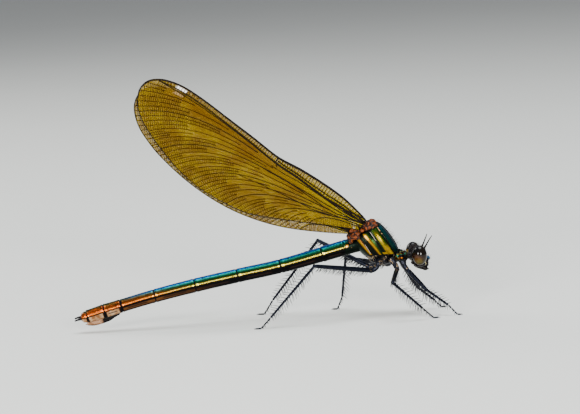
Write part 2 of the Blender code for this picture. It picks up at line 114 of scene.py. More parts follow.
# Rounded plates under the thorax, between the legs
STERNUM = (
    ((15.30, 0.0, 7.22), (1.20, 0.74, 0.52)), ((14.35, 0.0, 7.45), (0.80, 0.85, 0.50)),
    ((15.45, 0.52, 7.30), (0.46, 0.40, 0.34)), ((15.45, -0.52, 7.30), (0.46, 0.40, 0.34)),
    ((16.35, 0.0, 7.35), (0.60, 0.62, 0.42)),
)
PRONOTUM_ROWS = (
    (16.80, 7.80, 0.60, 0.70), (17.10, 7.75, 0.78, 0.92), (17.50, 7.72, 0.95, 1.15),
    (17.90, 7.66, 0.88, 1.12), (18.28, 7.62, 0.80, 0.95), (18.60, 7.62, 0.50, 0.60),
)
# The stripes of the thorax run down and forward, and this is their middle, their fall and their fan
STRIPE_MIDDLE = Vector((14.4, 0.0, 9.6))
STRIPE_FALL = math.radians(48)
STRIPE_FAN = 0.18
# Colours across the stripes, by place; they run from the ridge of the back down to the legs.
# The two gold stripes beside the sutures, around 0.36 and 1.37, are painted highlights
STRIPES = (
    (-2.50, (0.002, 0.002, 0.003)), (-2.30, (0.003, 0.005, 0.006)), (-2.20, (0.004, 0.030, 0.042)),
    (-2.02, (0.004, 0.062, 0.085)), (-1.76, (0.005, 0.080, 0.072)), (-1.62, (0.006, 0.055, 0.035)),
    (-1.55, (0.003, 0.004, 0.004)), (-1.38, (0.003, 0.004, 0.003)), (-1.31, (0.010, 0.050, 0.008)),
    (-1.20, (0.024, 0.070, 0.003)), (-1.04, (0.10, 0.085, 0.001)), (-0.82, (0.24, 0.16, 0.001)),
    (-0.63, (0.13, 0.11, 0.003)), (-0.55, (0.010, 0.016, 0.004)), (-0.20, (0.003, 0.004, 0.003)),
    (-0.10, (0.004, 0.010, 0.003)), (0.06, (0.006, 0.024, 0.003)), (0.17, (0.03, 0.04, 0.003)),
    (0.22, (0.17, 0.055, 0.0)), (0.36, (0.36, 0.22, 0.0)), (0.49, (0.17, 0.055, 0.0)),
    (0.55, (0.004, 0.005, 0.003)), (1.18, (0.003, 0.004, 0.003)), (1.25, (0.30, 0.10, 0.002)),
    (1.37, (0.36, 0.22, 0.0)), (1.48, (0.17, 0.055, 0.0)), (1.56, (0.003, 0.004, 0.003)),
    (1.76, (0.003, 0.012, 0.005)), (2.20, (0.004, 0.016, 0.008)), (2.38, (0.003, 0.003, 0.003)),
    (2.80, (0.008, 0.008, 0.009)),
)
# Sutures of the thorax, each a place across the stripes, a depth and a half width
SUTURES = ((-1.46, 0.07, 0.07), (-0.38, 0.08, 0.06), (1.20, 0.07, 0.06), (2.40, 0.05, 0.07))
# Cores of the wing bases: x, z and half length, width and height
WING_BASES = {"fore": (13.90, 12.10, 0.92, 1.05, 0.56), "hind": (11.95, 10.98, 0.90, 1.0, 0.60)}
WING_BASE_LEAN = math.radians(31)
# Plates at the wing roots, on both sides: x, side place, z and half length, width and height
HINGE_PLATES = {
    "fore": (
        (14.42, 0.40, 12.46, 0.40, 0.42, 0.22), (13.98, 0.34, 12.66, 0.50, 0.40, 0.26),
        (13.42, 0.62, 12.48, 0.42, 0.36, 0.24), (14.50, 0.98, 12.22, 0.36, 0.28, 0.24),
        (13.98, 1.08, 12.02, 0.44, 0.28, 0.30), (13.40, 1.14, 11.86, 0.36, 0.26, 0.30),
        (13.66, 1.02, 12.32, 0.34, 0.28, 0.22), (13.02, 1.04, 12.24, 0.42, 0.26, 0.32),
        (12.74, 0.60, 12.22, 0.38, 0.40, 0.26),
    ),
    "hind": (
        (12.78, 0.86, 11.62, 0.42, 0.34, 0.26), (12.30, 0.55, 11.70, 0.46, 0.40, 0.24),
        (12.20, 0.98, 11.20, 0.40, 0.30, 0.28), (11.66, 0.70, 11.30, 0.42, 0.36, 0.26),
        (11.66, 1.02, 10.78, 0.40, 0.30, 0.32), (11.14, 0.60, 10.86, 0.40, 0.42, 0.30),
        (11.20, 0.88, 10.30, 0.32, 0.32, 0.40), (12.20, 1.08, 10.72, 0.36, 0.26, 0.28),
        (12.40, 1.00, 11.84, 0.40, 0.26, 0.26), (11.40, 0.92, 11.66, 0.36, 0.30, 0.24),
    ),
}

# Abdomen, walked segment by segment from the thorax to the tail
ABDOMEN_START = Vector((11.55, 0.0, 9.40))
SEGMENT_LENGTHS = (1.25, 3.0, 5.6, 5.72, 5.66, 5.4, 4.5, 2.3, 2.35, 0.85)
SEGMENT_PITCH = (12, 13.2, 12.5, 9.2, 9.7, 11.3, 13.4, 13.9, 14.5, 15.5)
SEGMENT_RADII = (
    (1.00, 1.02), (1.04, 1.02), (1.00, 0.94), (0.93, 0.93), (0.93, 0.93),
    (0.93, 0.90), (0.89, 0.87), (0.88, 0.93), (0.93, 0.84), (0.78, 0.55),
)
ABDOMEN_WIDTH = 0.94
ABDOMEN_SUNK = 0.8
# A tail appendage: its length, and how far it bows out and up at shares of it
CERCUS_LENGTH = 1.0
CERCUS_BOW = ((0.0, 0.0, 0.0), (0.35, 0.07, 0.04), (0.7, 0.10, 0.05), (1.0, 0.05, 0.02))
OVIPOSITOR_ROWS = (
    (-19.2, 2.30, 0.12, 0.14), (-19.9, 2.08, 0.26, 0.24), (-20.6, 1.86, 0.45, 0.34),
    (-21.8, 1.64, 0.58, 0.38), (-22.7, 1.42, 0.50, 0.32), (-23.5, 1.26, 0.26, 0.18),
)

# Wings: root, tip direction in degrees above the tail side, length, side offset at root and at tip,
# the rim from the front root round the tip to the hind root, and how far along the notch lies
FORE_WING = {
    "root": (12.8, 12.25), "angle": 33.9, "length": 33.43, "offsets": (1.38, 0.92), "nodus": 0.415,
    "outline": (
        (0.0, 0.76), (0.051, 1.21), (0.113, 1.64), (0.2, 1.9), (0.31, 1.98), (0.41, 1.84),
        (0.534, 2.37), (0.66, 2.85), (0.767, 3.27), (0.86, 3.42), (0.925, 3.12), (0.968, 2.55),
        (0.997, 1.69), (1.008, 0.6), (1.003, -0.4), (0.983, -1.65), (0.943, -2.86),
        (0.89, -3.85), (0.817, -4.92), (0.73, -5.95), (0.612, -6.72), (0.462, -6.6),
        (0.372, -5.93), (0.233, -4.06), (0.119, -2.4), (0.05, -1.45), (0.0, -0.79),
    ),
}
HIND_WING = {
    "root": (11.3, 11.4), "angle": 34.81, "length": 32.76, "offsets": (0.46, 0.30), "nodus": 0.40,
    "outline": (
        (0.0, 0.42), (0.042, 0.95), (0.126, 1.68), (0.2, 2.1), (0.307, 2.38), (0.413, 2.53),
        (0.52, 2.95), (0.625, 3.3), (0.747, 3.72), (0.822, 3.82), (0.88, 3.65), (0.93, 3.12),
        (0.971, 2.3), (0.995, 1.4), (1.0, 0.3), (0.99, -0.9), (0.964, -2.0), (0.924, -3.01),
        (0.87, -3.85), (0.8, -4.65), (0.684, -5.47), (0.565, -5.84), (0.455, -5.76),
        (0.353, -5.25), (0.257, -4.39), (0.167, -3.21), (0.081, -1.85), (0.0, -0.45),
    ),
}
LEADING_END = 0.45
TRAILING_END = 0.91
RIM_POINTS = 401
# The false mark of a female wing: middle along and across, half sizes in the wing's plane, colour
WING_MARK = {
    "fore": (0.872, 3.06, 0.022, 0.20, (0.95, 0.90, 0.82)),
    "hind": (0.868, 3.36, 0.020, 0.26, (0.95, 0.62, 0.30)),
}

# The two strong veins below the leading edge: share of the way to the notch, then to the tip, and
# the drop below the edge
SUBCOSTA = ((0.0, 0.34), (0.17, 0.62), (0.43, 0.92), (0.63, 0.86), (1.0, 0.34))
RADIUS = ((0.0, 0.60), (0.17, 0.92), (0.43, 1.32), (0.63, 1.16), (1.0, 0.66))
RADIUS_BEYOND = ((0.35, 0.56), (0.75, 0.58), (0.88, 0.42), (0.95, 0.06))
# Three more strong veins, by share of the wing's length and drop below the leading edge
BRANCHES = (
    ((0.0, 0.4), (0.05, 1.05), (0.10, 1.40), (0.147, 1.46), (0.244, 1.44), (0.345, 1.42),
     (0.429, 1.25)),
    ((0.0, 0.5), (0.05, 1.30), (0.11, 2.15), (0.166, 2.40), (0.233, 2.32), (0.389, 2.05),
     (0.474, 2.3)),
    ((0.0, 0.6), (0.05, 1.45), (0.11, 2.60), (0.197, 3.50), (0.3, 3.80), (0.411, 4.0),
     (0.517, 4.92)),
)
# The fan of long veins: how many whole ones, and the thickness of each level of the halfway ones
FAN_BASE = 3
FAN_THICKNESS = (0.90, 0.82, 0.75, 0.70, 0.64, 0.60)
VEIN_STEP = 4
WIDEST_RUNG = 1.6

# Legs: coxa, hip, trochanter, knee, ankle, sole and toe
LEGS = {
    "front_right": ((17.85, -0.45, 7.45), (18.05, -0.90, 6.55), (18.45, -1.10, 5.95),
                    (20.73, -2.20, 3.32), (23.35, -3.25, 1.35), (24.45, -3.50, 0.20),
                    (24.88, -3.60, 0.19)),
    "front_left": ((17.85, 0.45, 7.45), (18.05, 0.90, 6.55), (18.40, 1.05, 5.90),
                   (20.20, 1.90, 3.00), (22.35, 2.75, 1.10), (23.25, 3.10, 0.20),
                   (23.80, 3.25, 0.19)),
    "mid_right": ((16.30, -0.75, 7.65), (16.80, -1.15, 6.85), (17.05, -1.65, 6.25),
                  (15.86, -6.20, 5.20), (19.75, -5.40, 1.45), (21.15, -5.00, 0.20),
                  (21.75, -4.85, 0.19)),
    "mid_left": ((16.15, 0.75, 7.70), (16.40, 1.15, 6.85), (16.25, 1.60, 6.45),
                 (11.00, 5.10, 7.10), (10.40, 6.25, 1.70), (9.75, 6.45, 0.20),
                 (9.15, 6.50, 0.19)),
    "hind_right": ((15.05, -0.70, 7.60), (14.55, -1.25, 6.75), (13.80, -1.50, 6.20),
                   (6.07, -4.20, 7.63), (0.02, -5.00, 1.35), (-1.20, -5.20, 0.20),
                   (-1.95, -5.30, 0.19)),
    "hind_left": ((15.05, 0.70, 7.60), (14.55, 1.25, 6.75), (13.80, 1.50, 6.25),
                  (7.35, 4.50, 9.75), (1.05, 5.55, 1.90), (-0.10, 5.80, 0.20),
                  (-0.90, 5.95, 0.19)),
}
SOLE_RADIUS = 0.11
# Radii at both ends of each joint of the foot
FOOT_RADII = ((0.105, 0.10), (0.10, 0.095), (0.10, 0.105), (0.10, 0.09))
BRISTLE_SPACING = 0.42
FLOOR_GAP = 0.04
SOFT_HAIR_RADIUS = 0.0085
# How much of the map one hair takes
HAIR_PATCH = 0.003
UP = Vector((0.0, 0.0, 1.0))

# How near points are welded, and the grain of the skins that are melted together
WELD = 1e-4
GRAIN = 0.045

# The camera of the photograph: where it looks, how far off, its turns and its lens
VIEW_TARGET = Vector((3.593, 0.0, 14.942))
VIEW_DISTANCE = 314.17
VIEW_AZIMUTH = math.radians(-4)
VIEW_ELEVATION = math.radians(7)
VIEW_ROLL = math.radians(2.796)
VIEW_LENS = 150

# The studio in metres and watts: floor, world and each lamp's place, size, power and colour
FLOOR_RADIUS = 4.0
WORLD_COLOUR = (0.93, 0.96, 1.0, 1.0)
WORLD_STRENGTH = 0.30
LIGHT_TARGET = Vector((0.0, 0.0, 0.015))
LIGHTS = (
    ("key", (-0.25, -0.36, 0.14), 0.13, 2.0, (1.0, 0.98, 0.94)),
    ("second_key", (0.10, -0.43, 0.11), 0.12, 2.0, (1.0, 0.98, 0.94)),
    ("sky", (0.05, -0.02, 0.55), 0.40, 4.0, (0.94, 0.98, 1.0)),
    ("rim", (-0.38, 0.30, 0.30), 0.25, 1.4, (1.0, 0.97, 0.92)),
)


def mix(first, second, share):
    return first + (second - first) * share


def clamped(value, low=0.0, high=1.0):
    return min(max(value, low), high)


def eased(low, high, value):
    """0 below low, 1 above high, and a smooth rise between them."""
    share = clamped((value - low) / (high - low))
    return share * share * (3 - 2 * share)


def bell(value, middle, width):
    return math.exp(-(((value - middle) / width) ** 2))


def dimmed(colour, share):
    return [part * share for part in colour]


def stretch(share, count):
    """Which stretch between two of count points a share of the way is in, and how far along it."""
    spot = share * (count - 1)
    index = min(int(spot), count - 2)
    return index, spot - index


def round_way(turn):
    """The cosine and the sine of a share of a full turn."""
    return math.cos(math.tau * turn), math.sin(math.tau * turn)


def smooth_row(rows, share):
    """The sizes at a share of the way through a table of rows, on a smooth curve."""
    table = np.array(rows, float)
    index, t = stretch(share, len(table))
    start, end = table[index], table[index + 1]
    before = table[index - 1] if index else start * 2 - end
    after = table[index + 2] if index + 2 < len(table) else end * 2 - start
    bend = start * 2 + (end - before) * t
    bend = bend + (before * 2 - start * 5 + end * 4 - after) * t * t
    return (bend + (start * 3 - before - end * 3 + after) * t ** 3) / 2


def distances(line):
    """How far along a line each of its points lies."""
    steps = np.linalg.norm(np.diff(line, axis=0), axis=1)
    return np.concatenate(([0.0], np.cumsum(steps)))


def points_at(marks, line):
    """The points of a line at some distances along it."""
    places = distances(line)
    return np.column_stack([np.interp(marks, places, column) for column in line.T])


def even_points(points, count):
    """Points at equal distances along a line, as an array."""
    line = np.array(points, float)
    return points_at(np.linspace(0.0, distances(line)[-1], count), line)


def level_frame(start, end):
    """The heading from start to end, the level direction across it, and the third one."""
    heading = (end - start).normalized()
    across = heading.cross(UP).normalized()
    return heading, across, across.cross(heading)


def head_point(x, y, z):
    """A place on the turned head, from its centre."""
    return HEAD_CENTRE + HEAD_FACING @ Vector((x, y, z))


def on_turned_head(point):
    """Where a point lies, seen from the turned head's centre."""
    return HEAD_FACING.transposed() @ (point - HEAD_CENTRE)


def stripe_place(x, z):
    """How far back across the thorax's stripes a place lies, and how far down along them.

    It takes numbers and also the values of a finish.
    """
    away_x, away_z = x - STRIPE_MIDDLE.x, z - STRIPE_MIDDLE.z
    down = away_x * math.cos(STRIPE_FALL) - away_z * math.sin(STRIPE_FALL)
    back = -1.0 * away_x * math.sin(STRIPE_FALL) - away_z * math.cos(STRIPE_FALL)
    return back - down * STRIPE_FAN, down


class Value:
    """One output of a finish's nodes, on which plain arithmetic adds the Math nodes it needs."""

    def __init__(self, finish, socket):
        self.finish = finish
        self.socket = socket

    def math(self, operation, *values):
        inputs = dict(enumerate(values))
        return self.finish.node("ShaderNodeMath", {"operation": operation}, inputs)

    def __add__(self, other):
        return self.math("ADD", self, other)

    def __sub__(self, other):
        return self.math("SUBTRACT", self, other)

    def __rsub__(self, other):
        return self.math("SUBTRACT", other, self)

    def __mul__(self, other):
        return self.math("MULTIPLY", self, other)

    def __truediv__(self, other):
        return self.math("DIVIDE", self, other)

    __radd__ = __add__
    __rmul__ = __mul__

    def __abs__(self):
        return self.math("ABSOLUTE", self)

    def at_least(self, other):
        return self.math("MAXIMUM", self, other)

    def rise(self, low, high):
        """0 below low and 1 above high, smooth between; the other way round if low is larger."""
        inputs = {"Value": self, "From Min": min(low, high), "From Max": max(low, high)}
        if low > high:
            inputs.update({"To Min": 1.0, "To Max": 0.0})
        settings = {"interpolation_type": "SMOOTHSTEP"}
        return self.finish.node("ShaderNodeMapRange", settings, inputs)

    def band(self, low, high, edge):
        """1 between two places and 0 outside them."""
        return self.rise(low - edge, low + edge) * self.rise(high + edge, high - edge)


class Finish:
    """A material whose nodes are written as expressions; constants go straight on its shader."""

    def __init__(self, name, **constants):
        self.material = bpy.data.materials.new(name)
        self.material.use_nodes = True
        self.tree = self.material.node_tree
        self.shader = self.tree.nodes["Principled BSDF"]
        for socket, value in constants.items():
            self.shader.inputs[socket.replace("_", " ")].default_value = value

    def node(self, kind, settings=None, inputs=None, output=0):
        """Adds one node: its settings first, then the values or links of its sockets."""
        made = self.tree.nodes.new(kind)
        for key, value in (settings or {}).items():
            if key == "stops":
                self.set_stops(made.color_ramp, value)
            else:
                setattr(made, key, value)
        for key, value in (inputs or {}).items():
            if isinstance(value, Value):
                self.tree.links.new(value.socket, made.inputs[key])
            else:
                made.inputs[key].default_value = value
        return Value(self, made.outputs[output])

    @staticmethod
    def set_stops(ramp, stops):
        while len(ramp.elements) < len(stops):
            ramp.elements.new(0.5)
        for element, (place, colour) in zip(ramp.elements, stops):
            element.position = place
            element.color = (*colour, 1.0)

    def place(self):
        return self.node("ShaderNodeTexCoord", output="Object")

    def axes(self):
        """The object coordinates in millimetres, one value for each axis."""
        parts = self.node("ShaderNodeSeparateXYZ", None, {0: self.place()})
        node = parts.socket.node
        return [Value(self, socket) * (1 / MM) for socket in node.outputs]

    def attribute(self, name):
        return self.node("ShaderNodeAttribute", {"attribute_name": name}, output="Fac")

    def noise(self, per_mm, detail=3.0, rough=0.55):
        inputs = {"Scale": per_mm / MM, "Detail": detail, "Roughness": rough}
        return self.node("ShaderNodeTexNoise", None, {"Vector": self.place(), **inputs})

    def cells(self, per_mm, feature="F1"):
        inputs = {"Vector": self.place(), "Scale": per_mm / MM}
        return self.node("ShaderNodeTexVoronoi", {"feature": feature}, inputs, "Distance")

    def ramp(self, factor, stops):
        return self.node("ShaderNodeValToRGB", {"stops": stops}, {0: factor}, "Color")

    def blend(self, factor, first, second):
        """Two colours mixed; a colour is three numbers or a value."""
        inputs = {0: factor}
        for key, colour in ((6, first), (7, second)):
            inputs[key] = colour if isinstance(colour, Value) else (*colour, 1.0)
        return self.node("ShaderNodeMix", {"data_type": "RGBA"}, inputs, 2)

    def layers(self, colour, coats):
        """A colour with others laid over it in turn, each where its mask says."""
        for mask, coat in coats:
            colour = self.blend(mask, colour, coat)
        return colour

    def closed(self, colour, height=None, depth_mm=0.0, strength=1.0, **varying):
        """Ends the material with its colour, its bump and what else varies on its shader."""
        varying["Base Color"] = colour
        if height is not None:
            inputs = {"Height": height, "Distance": depth_mm * MM, "Strength": strength}
            varying["Normal"] = self.node("ShaderNodeBump", None, inputs)
        for socket, value in varying.items():
            self.tree.links.new(value.socket, self.shader.inputs[socket])
        return self


def surface(place, columns, rows):
    """A grid laid over place(share, share), which gives each point and the two values it keeps."""
    mesh = bmesh.new()
    layers = [mesh.verts.layers.float.new(name) for name in ("along", "around")]
    bmesh.ops.create_grid(mesh, x_segments=columns, y_segments=rows, size=1.0)
    for vert in mesh.verts:
        vert.co, *kept = place((vert.co.x + 1) / 2, (vert.co.y + 1) / 2)
        for layer, value in zip(layers, kept):
            vert[layer] = value
    bmesh.ops.remove_doubles(mesh, verts=mesh.verts, dist=WELD)
    return mesh


def rolled(place, rows, sides):
    """A closed round skin over place(share along, share round), which keeps both shares.

    The share round is kept as 0 on top, where the roll meets, and 1 underneath.
    """
    def marked(along, around):
        return place(along, around), along, 1 - abs(2 * around - 1)

    mesh = surface(marked, rows, sides)
    open_edges = [edge for edge in mesh.edges if edge.is_boundary]
    bmesh.ops.holes_fill(mesh, edges=open_edges, sides=0)
    bmesh.ops.recalc_face_normals(mesh, faces=mesh.faces)
    return mesh


def round_end(share, reach):
    """Rounds a bar off over the last reach of its length at each end."""
    near = min(share, 1 - share) / reach
    return math.sqrt(max(1 - (1 - min(near, 1.0)) ** 2, 0.0))


def tapered(first, last, reach):
    """The radius of a bar that runs from one size to another and is rounded off at its ends."""
    return lambda share: mix(first, last, share) * round_end(share, reach)


def bar(points, radius, rows, sides):
    """A round bar along a smooth line; radius gives its size at a share of its length."""
    line = [Vector(point) for point in points]
    smooth = [smooth_row(line, share) for share in np.linspace(0, 1, 8 * len(line))]
    line = [Vector(point) for point in even_points(smooth, 64)]
    heading = (line[-1] - line[0]).normalized()
    upright = Vector((1.0, 0.0, 0.0)) if abs(heading.z) > 0.9 else UP
    across = heading.cross(upright).normalized()

    def place(share, turn):
        index, rest = stretch(share, len(line))
        ahead = (line[index + 1] - line[index]).normalized()
        sideways = (across - ahead * across.dot(ahead)).normalized()
        up = sideways.cross(ahead)
        rise, side = round_way(turn)
        size = radius(share)
        centre = line[index].lerp(line[index + 1], rest)
        return centre + up * (rise * size) + sideways * (side * size)

    return rolled(place, rows, sides)


def in_fixed_order(mesh):
    """The same mesh with its faces in a fixed order, which Blender's spheres don't have."""
    mesh.verts.index_update()
    faces = []
    for face in mesh.faces:
        corners = [vert.index for vert in face.verts]
        first = corners.index(min(corners))
        faces.append(corners[first:] + corners[:first])
    fixed = bmesh.new()
    verts = [fixed.verts.new(vert.co) for vert in mesh.verts]
    for corners in sorted(faces):
        fixed.faces.new([verts[number] for number in corners])
    mesh.free()
    return fixed


def ball(centre, radii, turn=None, segments=32, rings=20):
    """A sphere stretched to three radii, then turned about its centre."""
    mesh = bmesh.new()
    stretched = Matrix.Diagonal((*radii, 1.0))
    turned = turn.to_4x4() if turn else Matrix.Identity(4)
    sizes = {"u_segments": segments, "v_segments": rings, "radius": 1.0}
    bmesh.ops.create_uvsphere(mesh, matrix=Matrix.Translation(centre) @ turned @ stretched, **sizes)
    return in_fixed_order(mesh)


def mesh_data(name, mesh):
    """The mesh data of a bmesh, which is freed."""
    data = bpy.data.meshes.new(name)
    mesh.to_mesh(data)
    mesh.free()
    return data


def gather(meshes):
    """Several meshes in one."""
    whole = bmesh.new()
    for mesh in meshes:
        part = mesh_data("part", mesh)
        whole.from_mesh(part)
        bpy.data.meshes.remove(part)
    return whole


def shown_mesh(source):
    """What an object's modifiers or curve show, as a mesh; the object itself is removed."""
    graph = bpy.context.evaluated_depsgraph_get()
    result = bpy.data.meshes.new_from_object(source.evaluated_get(graph))
    bpy.data.objects.remove(source)
    return result


def link_object(name, data):
    made = bpy.data.objects.new(name, data)
    bpy.context.scene.collection.objects.link(made)
    return made


def melted(meshes, grain, softness):
    """Several closed meshes melted into one skin by a voxel remesh, then smoothed."""
    lump = link_object("melt", mesh_data("melt", gather(meshes)))
    remesh = lump.modifiers.new("Melt", "REMESH")
    remesh.mode = "VOXEL"
    remesh.voxel_size = grain
    skin = bmesh.new()
    skin.from_mesh(shown_mesh(lump))
    all_axes = {"use_axis_x": True, "use_axis_y": True, "use_axis_z": True}
    for _ in range(softness):
        bmesh.ops.smooth_vert(skin, verts=skin.verts, factor=0.5, **all_axes)
    bmesh.ops.recalc_face_normals(skin, faces=skin.faces)
    return skin


def push(mesh, height):
    """Moves each point of a skin out along its normal by height(point, normal)."""
    mesh.normal_update()
    moves = [(vert, vert.normal * height(vert.co, vert.normal)) for vert in mesh.verts]
    for vert, move in moves:
        vert.co += move


def finish_piece(name, mesh, finish, stands_for=()):
    """Makes a piece from a mesh in millimetres, on the body, in place of the nodes it names."""
    bmesh.ops.scale(mesh, vec=Vector((MM, MM, MM)), verts=mesh.verts)
    data = mesh_data(name, mesh)
    data.materials.append(finish.material)
    data.shade_smooth()
    piece = link_object(name, data)
    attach(piece, "root")
    if stands_for:
        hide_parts(*stands_for)
    return piece


def threads(lines, thickness):
    """Thin closed tubes, one for each line of (point, share of the thickness)."""
    curve = bpy.data.curves.new("threads", "CURVE")
    curve.dimensions = "3D"
    curve.bevel_depth = thickness
    curve.bevel_resolution = 0
    curve.use_fill_caps = True
    for line in lines:
        spline = curve.splines.new("POLY")
        spline.points.add(len(line) - 1)
        for point, (place, share) in zip(spline.points, line):
            point.co = (*place, 1.0)
            point.radius = share
    mesh = bmesh.new()
    mesh.from_mesh(shown_mesh(link_object("threads", curve)))
    bmesh.ops.remove_doubles(mesh, verts=mesh.verts, dist=WELD / 10)
    bmesh.ops.recalc_face_normals(mesh, faces=mesh.faces)
    return mesh


def hair_line(root, heading, length, droop, dip=0.05):
    """One tapering hair: its root sunk a little, bent towards droop."""
    line = []
    for share, size in ((0.0, 1.0), (0.4, 0.8), (0.75, 0.5), (1.0, 0.0)):
        reach = -dip + (length + dip) * share
        line.append((root + heading * reach + droop * (length * share * share), size))
    return line


def hair_coat(name, hairs, thickness, finish):
    """A coat of single hairs; each hair takes one small patch of the map at its root's place."""
    mesh = threads([line for line, _ in hairs], thickness)
    layer = mesh.loops.layers.uv.new("OFBake")
    roots = np.array([line[0][0] for line, _ in hairs])
    waiting = set(mesh.verts)
    while waiting:
        start = waiting.pop()
        strand = [start]
        for vert in strand:
            near = {edge.other_vert(vert) for edge in vert.link_edges} & waiting
            waiting -= near
            strand.extend(near)
        ends = np.array([vert.co for vert in strand])
        gaps = np.linalg.norm(roots[:, None, :] - ends[None, :, :], axis=2).min(axis=1)
        u, v = hairs[int(gaps.argmin())][1]
        low = ends.min(axis=0)
        size = max(float((ends.max(axis=0) - low).max()), 1e-6)
        for vert in strand:
            for loop in vert.link_loops:
                offset = (vert.co - Vector(low)) * (HAIR_PATCH / size)
                loop[layer].uv = (u + offset.x, v + offset.z)
    return finish_piece(name, mesh, finish)


def skin_spots(piece, count, seed, wanted):
    """Random places on a skin, (point, normal, chance), where wanted(point, normal) is likely."""
    draw = random.Random(seed)
    mesh = piece.data
    areas = np.zeros(len(mesh.polygons))
    mesh.polygons.foreach_get("area", areas)
    totals = np.cumsum(areas)
    spots = []
    tries = 0
    while len(spots) < count and tries < count * 40:
        tries += 1
        face = mesh.polygons[int(np.searchsorted(totals, draw.random() * totals[-1]))]
        corners = [mesh.vertices[index] for index in face.vertices]
        weights = [draw.random() + 0.05 for _ in corners]
        point = sum((corner.co * weight for corner, weight in zip(corners, weights)), Vector())
        point = point / sum(weights) / MM
        normal = face.normal.copy()
        if draw.random() < wanted(point, normal):
            spots.append((point, normal, draw.random()))
    return spots


def abdomen_line():
    """The joints of the abdomen, the first one sunk into the thorax."""
    joints = [ABDOMEN_START]
    for length, pitch in zip(SEGMENT_LENGTHS, SEGMENT_PITCH):
        drop = math.radians(pitch)
        joints.append(joints[-1] + Vector((-math.cos(drop), 0.0, -math.sin(drop))) * length)
    first = (joints[1] - joints[0]).normalized()
    joints[0] = joints[0] - first * ABDOMEN_SUNK
    return joints


def make_abdomen_skin():
    joints = abdomen_line()

    def centre_at(share):
        return Vector(smooth_row(joints, clamped(share)))

    def place(share, turn):
        index, local = stretch(share, len(joints))
        ahead = (centre_at(share + 0.004) - centre_at(share - 0.004)).normalized()
        up = Vector((-ahead.z, 0.0, ahead.x)) * (-1 if ahead.x < 0 else 1)
        size = mix(*SEGMENT_RADII[index], local)
        near = local * SEGMENT_LENGTHS[index]
        far = (1 - local) * SEGMENT_LENGTHS[index]
        # A swollen rim on both sides of each joint, and the groove between them
        size += 0.045 * bell(far, 0.12, 0.14) + 0.03 * bell(near, 0.16, 0.12)
        if index > 0:
            size -= 0.065 * bell(near, 0.0, 0.05)
        if index < len(SEGMENT_LENGTHS) - 1:
            size -= 0.065 * bell(far, 0.0, 0.05)
        else:
            size *= math.sqrt(1 - eased(0.45, 1.0, local) ** 2 * 0.75)
        # The belly's groove between two low ridges
        under = abs(turn - 0.5)
        size *= 1 - 0.07 * bell(under, 0.0, 0.05) + 0.03 * bell(under, 0.10, 0.022)
        rise, side = round_way(turn)
        out = Vector((0.0, side * size * ABDOMEN_WIDTH, 0.0))
        return centre_at(share) + up * (rise * size) + out

    return rolled(place, 240, 64)


def thorax_place(share, turn):
    x, z, length, width, lean = smooth_row(THORAX_ROWS, share)
    lean = math.radians(lean)
    front, side = round_way(turn)
    boxy = (abs(front) ** BOXINESS + abs(side) ** BOXINESS) ** (-1 / BOXINESS)
    keel = 0.10 * bell(min(turn, 1 - turn), 0.0, 0.012)
    along = Vector((math.cos(lean), 0.0, math.sin(lean))) * (front * boxy * length + keel)
    return Vector((x, side * boxy * width, z)) + along


def thorax_relief(point, normal):
    """Sutures cut into the sides of the thorax, with the plates between them slightly pillowed."""
    back, down = stripe_place(point.x, point.z)
    height = 0.0
    for place, depth, width in SUTURES:
        height -= depth * bell(back, place, width)
    height -= 0.05 * bell(back, 0.78, 0.05) * eased(-0.4, 0.6, down)
    height += 0.03 * math.sin(back * 5.2 + 0.6)
    return height * eased(0.15, 0.5, abs(normal.y))


def make_thorax_skin():
    mesh = rolled(thorax_place, 170, 220)
    push(mesh, thorax_relief)
    tilt = Matrix.Rotation(math.radians(8), 3, "Y")
    return gather([mesh, *(ball(Vector(place), radii, tilt, 36, 24) for place, radii in STERNUM)])


def make_prothorax_skin():
    """Collar, saddle and hind lobe of the first ring of the thorax, and the neck into the head."""

    def place(share, turn):
        x, z, height, width = smooth_row(PRONOTUM_ROWS, share)
        rise, side = round_way(turn)
        top = max(rise, 0.0)
        size = 1 - 0.14 * bell(share, 0.36, 0.05) - 0.12 * bell(share, 0.74, 0.045)
        size += 0.10 * bell(share, 0.22, 0.06) * top + 0.06 * bell(share, 0.86, 0.05) * top
        size += 0.09 * abs(side) ** 4 * bell(share, 0.55, 0.13)
        size -= 0.07 * bell(min(turn, 1 - turn), 0.0, 0.02) * bell(share, 0.55, 0.2)
        return Vector((x, side * width * size, z + rise * height * size))

    def ringed(share):
        return NECK_RADIUS * (1 + 0.08 * math.sin(share * 60))

    return gather([rolled(place, 110, 120), bar(NECK_LINE, ringed, 60, 32)])


def head_ball(centre, radii, segments=32, rings=20, turn=HEAD_FACING):
    """A stretched sphere on the turned head."""
    return ball(head_point(*centre), radii, turn, segments, rings)


def make_head_skin():
    def place(share, way):
        y, ahead, length, height = smooth_row(HEAD_ROWS, share)
        rise, forward = round_way(way)
        return head_point(ahead + forward * length, y, 0.05 + rise * height)

    forms = [rolled(place, 60, 64), *(head_ball(*form) for form in FACE_FORMS)]
    x, y, z = ANTENNA_ROOT
    for sign in (1, -1):
        forms.append(head_ball((x - 0.02, sign * y, z), (0.20, 0.20, 0.17), 20, 12))
    skin = melted(forms, GRAIN, 4)

    def relief(point, normal):
        """The fold under the brow, the one over the lip, and the hollow between the simple eyes."""
        local = on_turned_head(point)
        front = eased(0.3, 0.7, local.x) * eased(1.0, 0.7, abs(local.y))
        height = 0.0
        for fold in (-0.12, -1.12):
            height -= 0.07 * bell(local.z, fold, 0.05) * front
        top = eased(0.4, 0.7, local.z)
        height -= 0.06 * bell(math.hypot(local.x - 0.55, local.y), 0.22, 0.12) * top
        return height - 0.05 * bell(abs(local.y), 0.95, 0.07) * eased(1.3, 0.9, abs(local.z))

    push(skin, relief)
    return skin


def make_eye(sign):
    return head_ball((0.0, sign * EYE_OFFSET, 0.0), EYE_RADII, 96, 64)


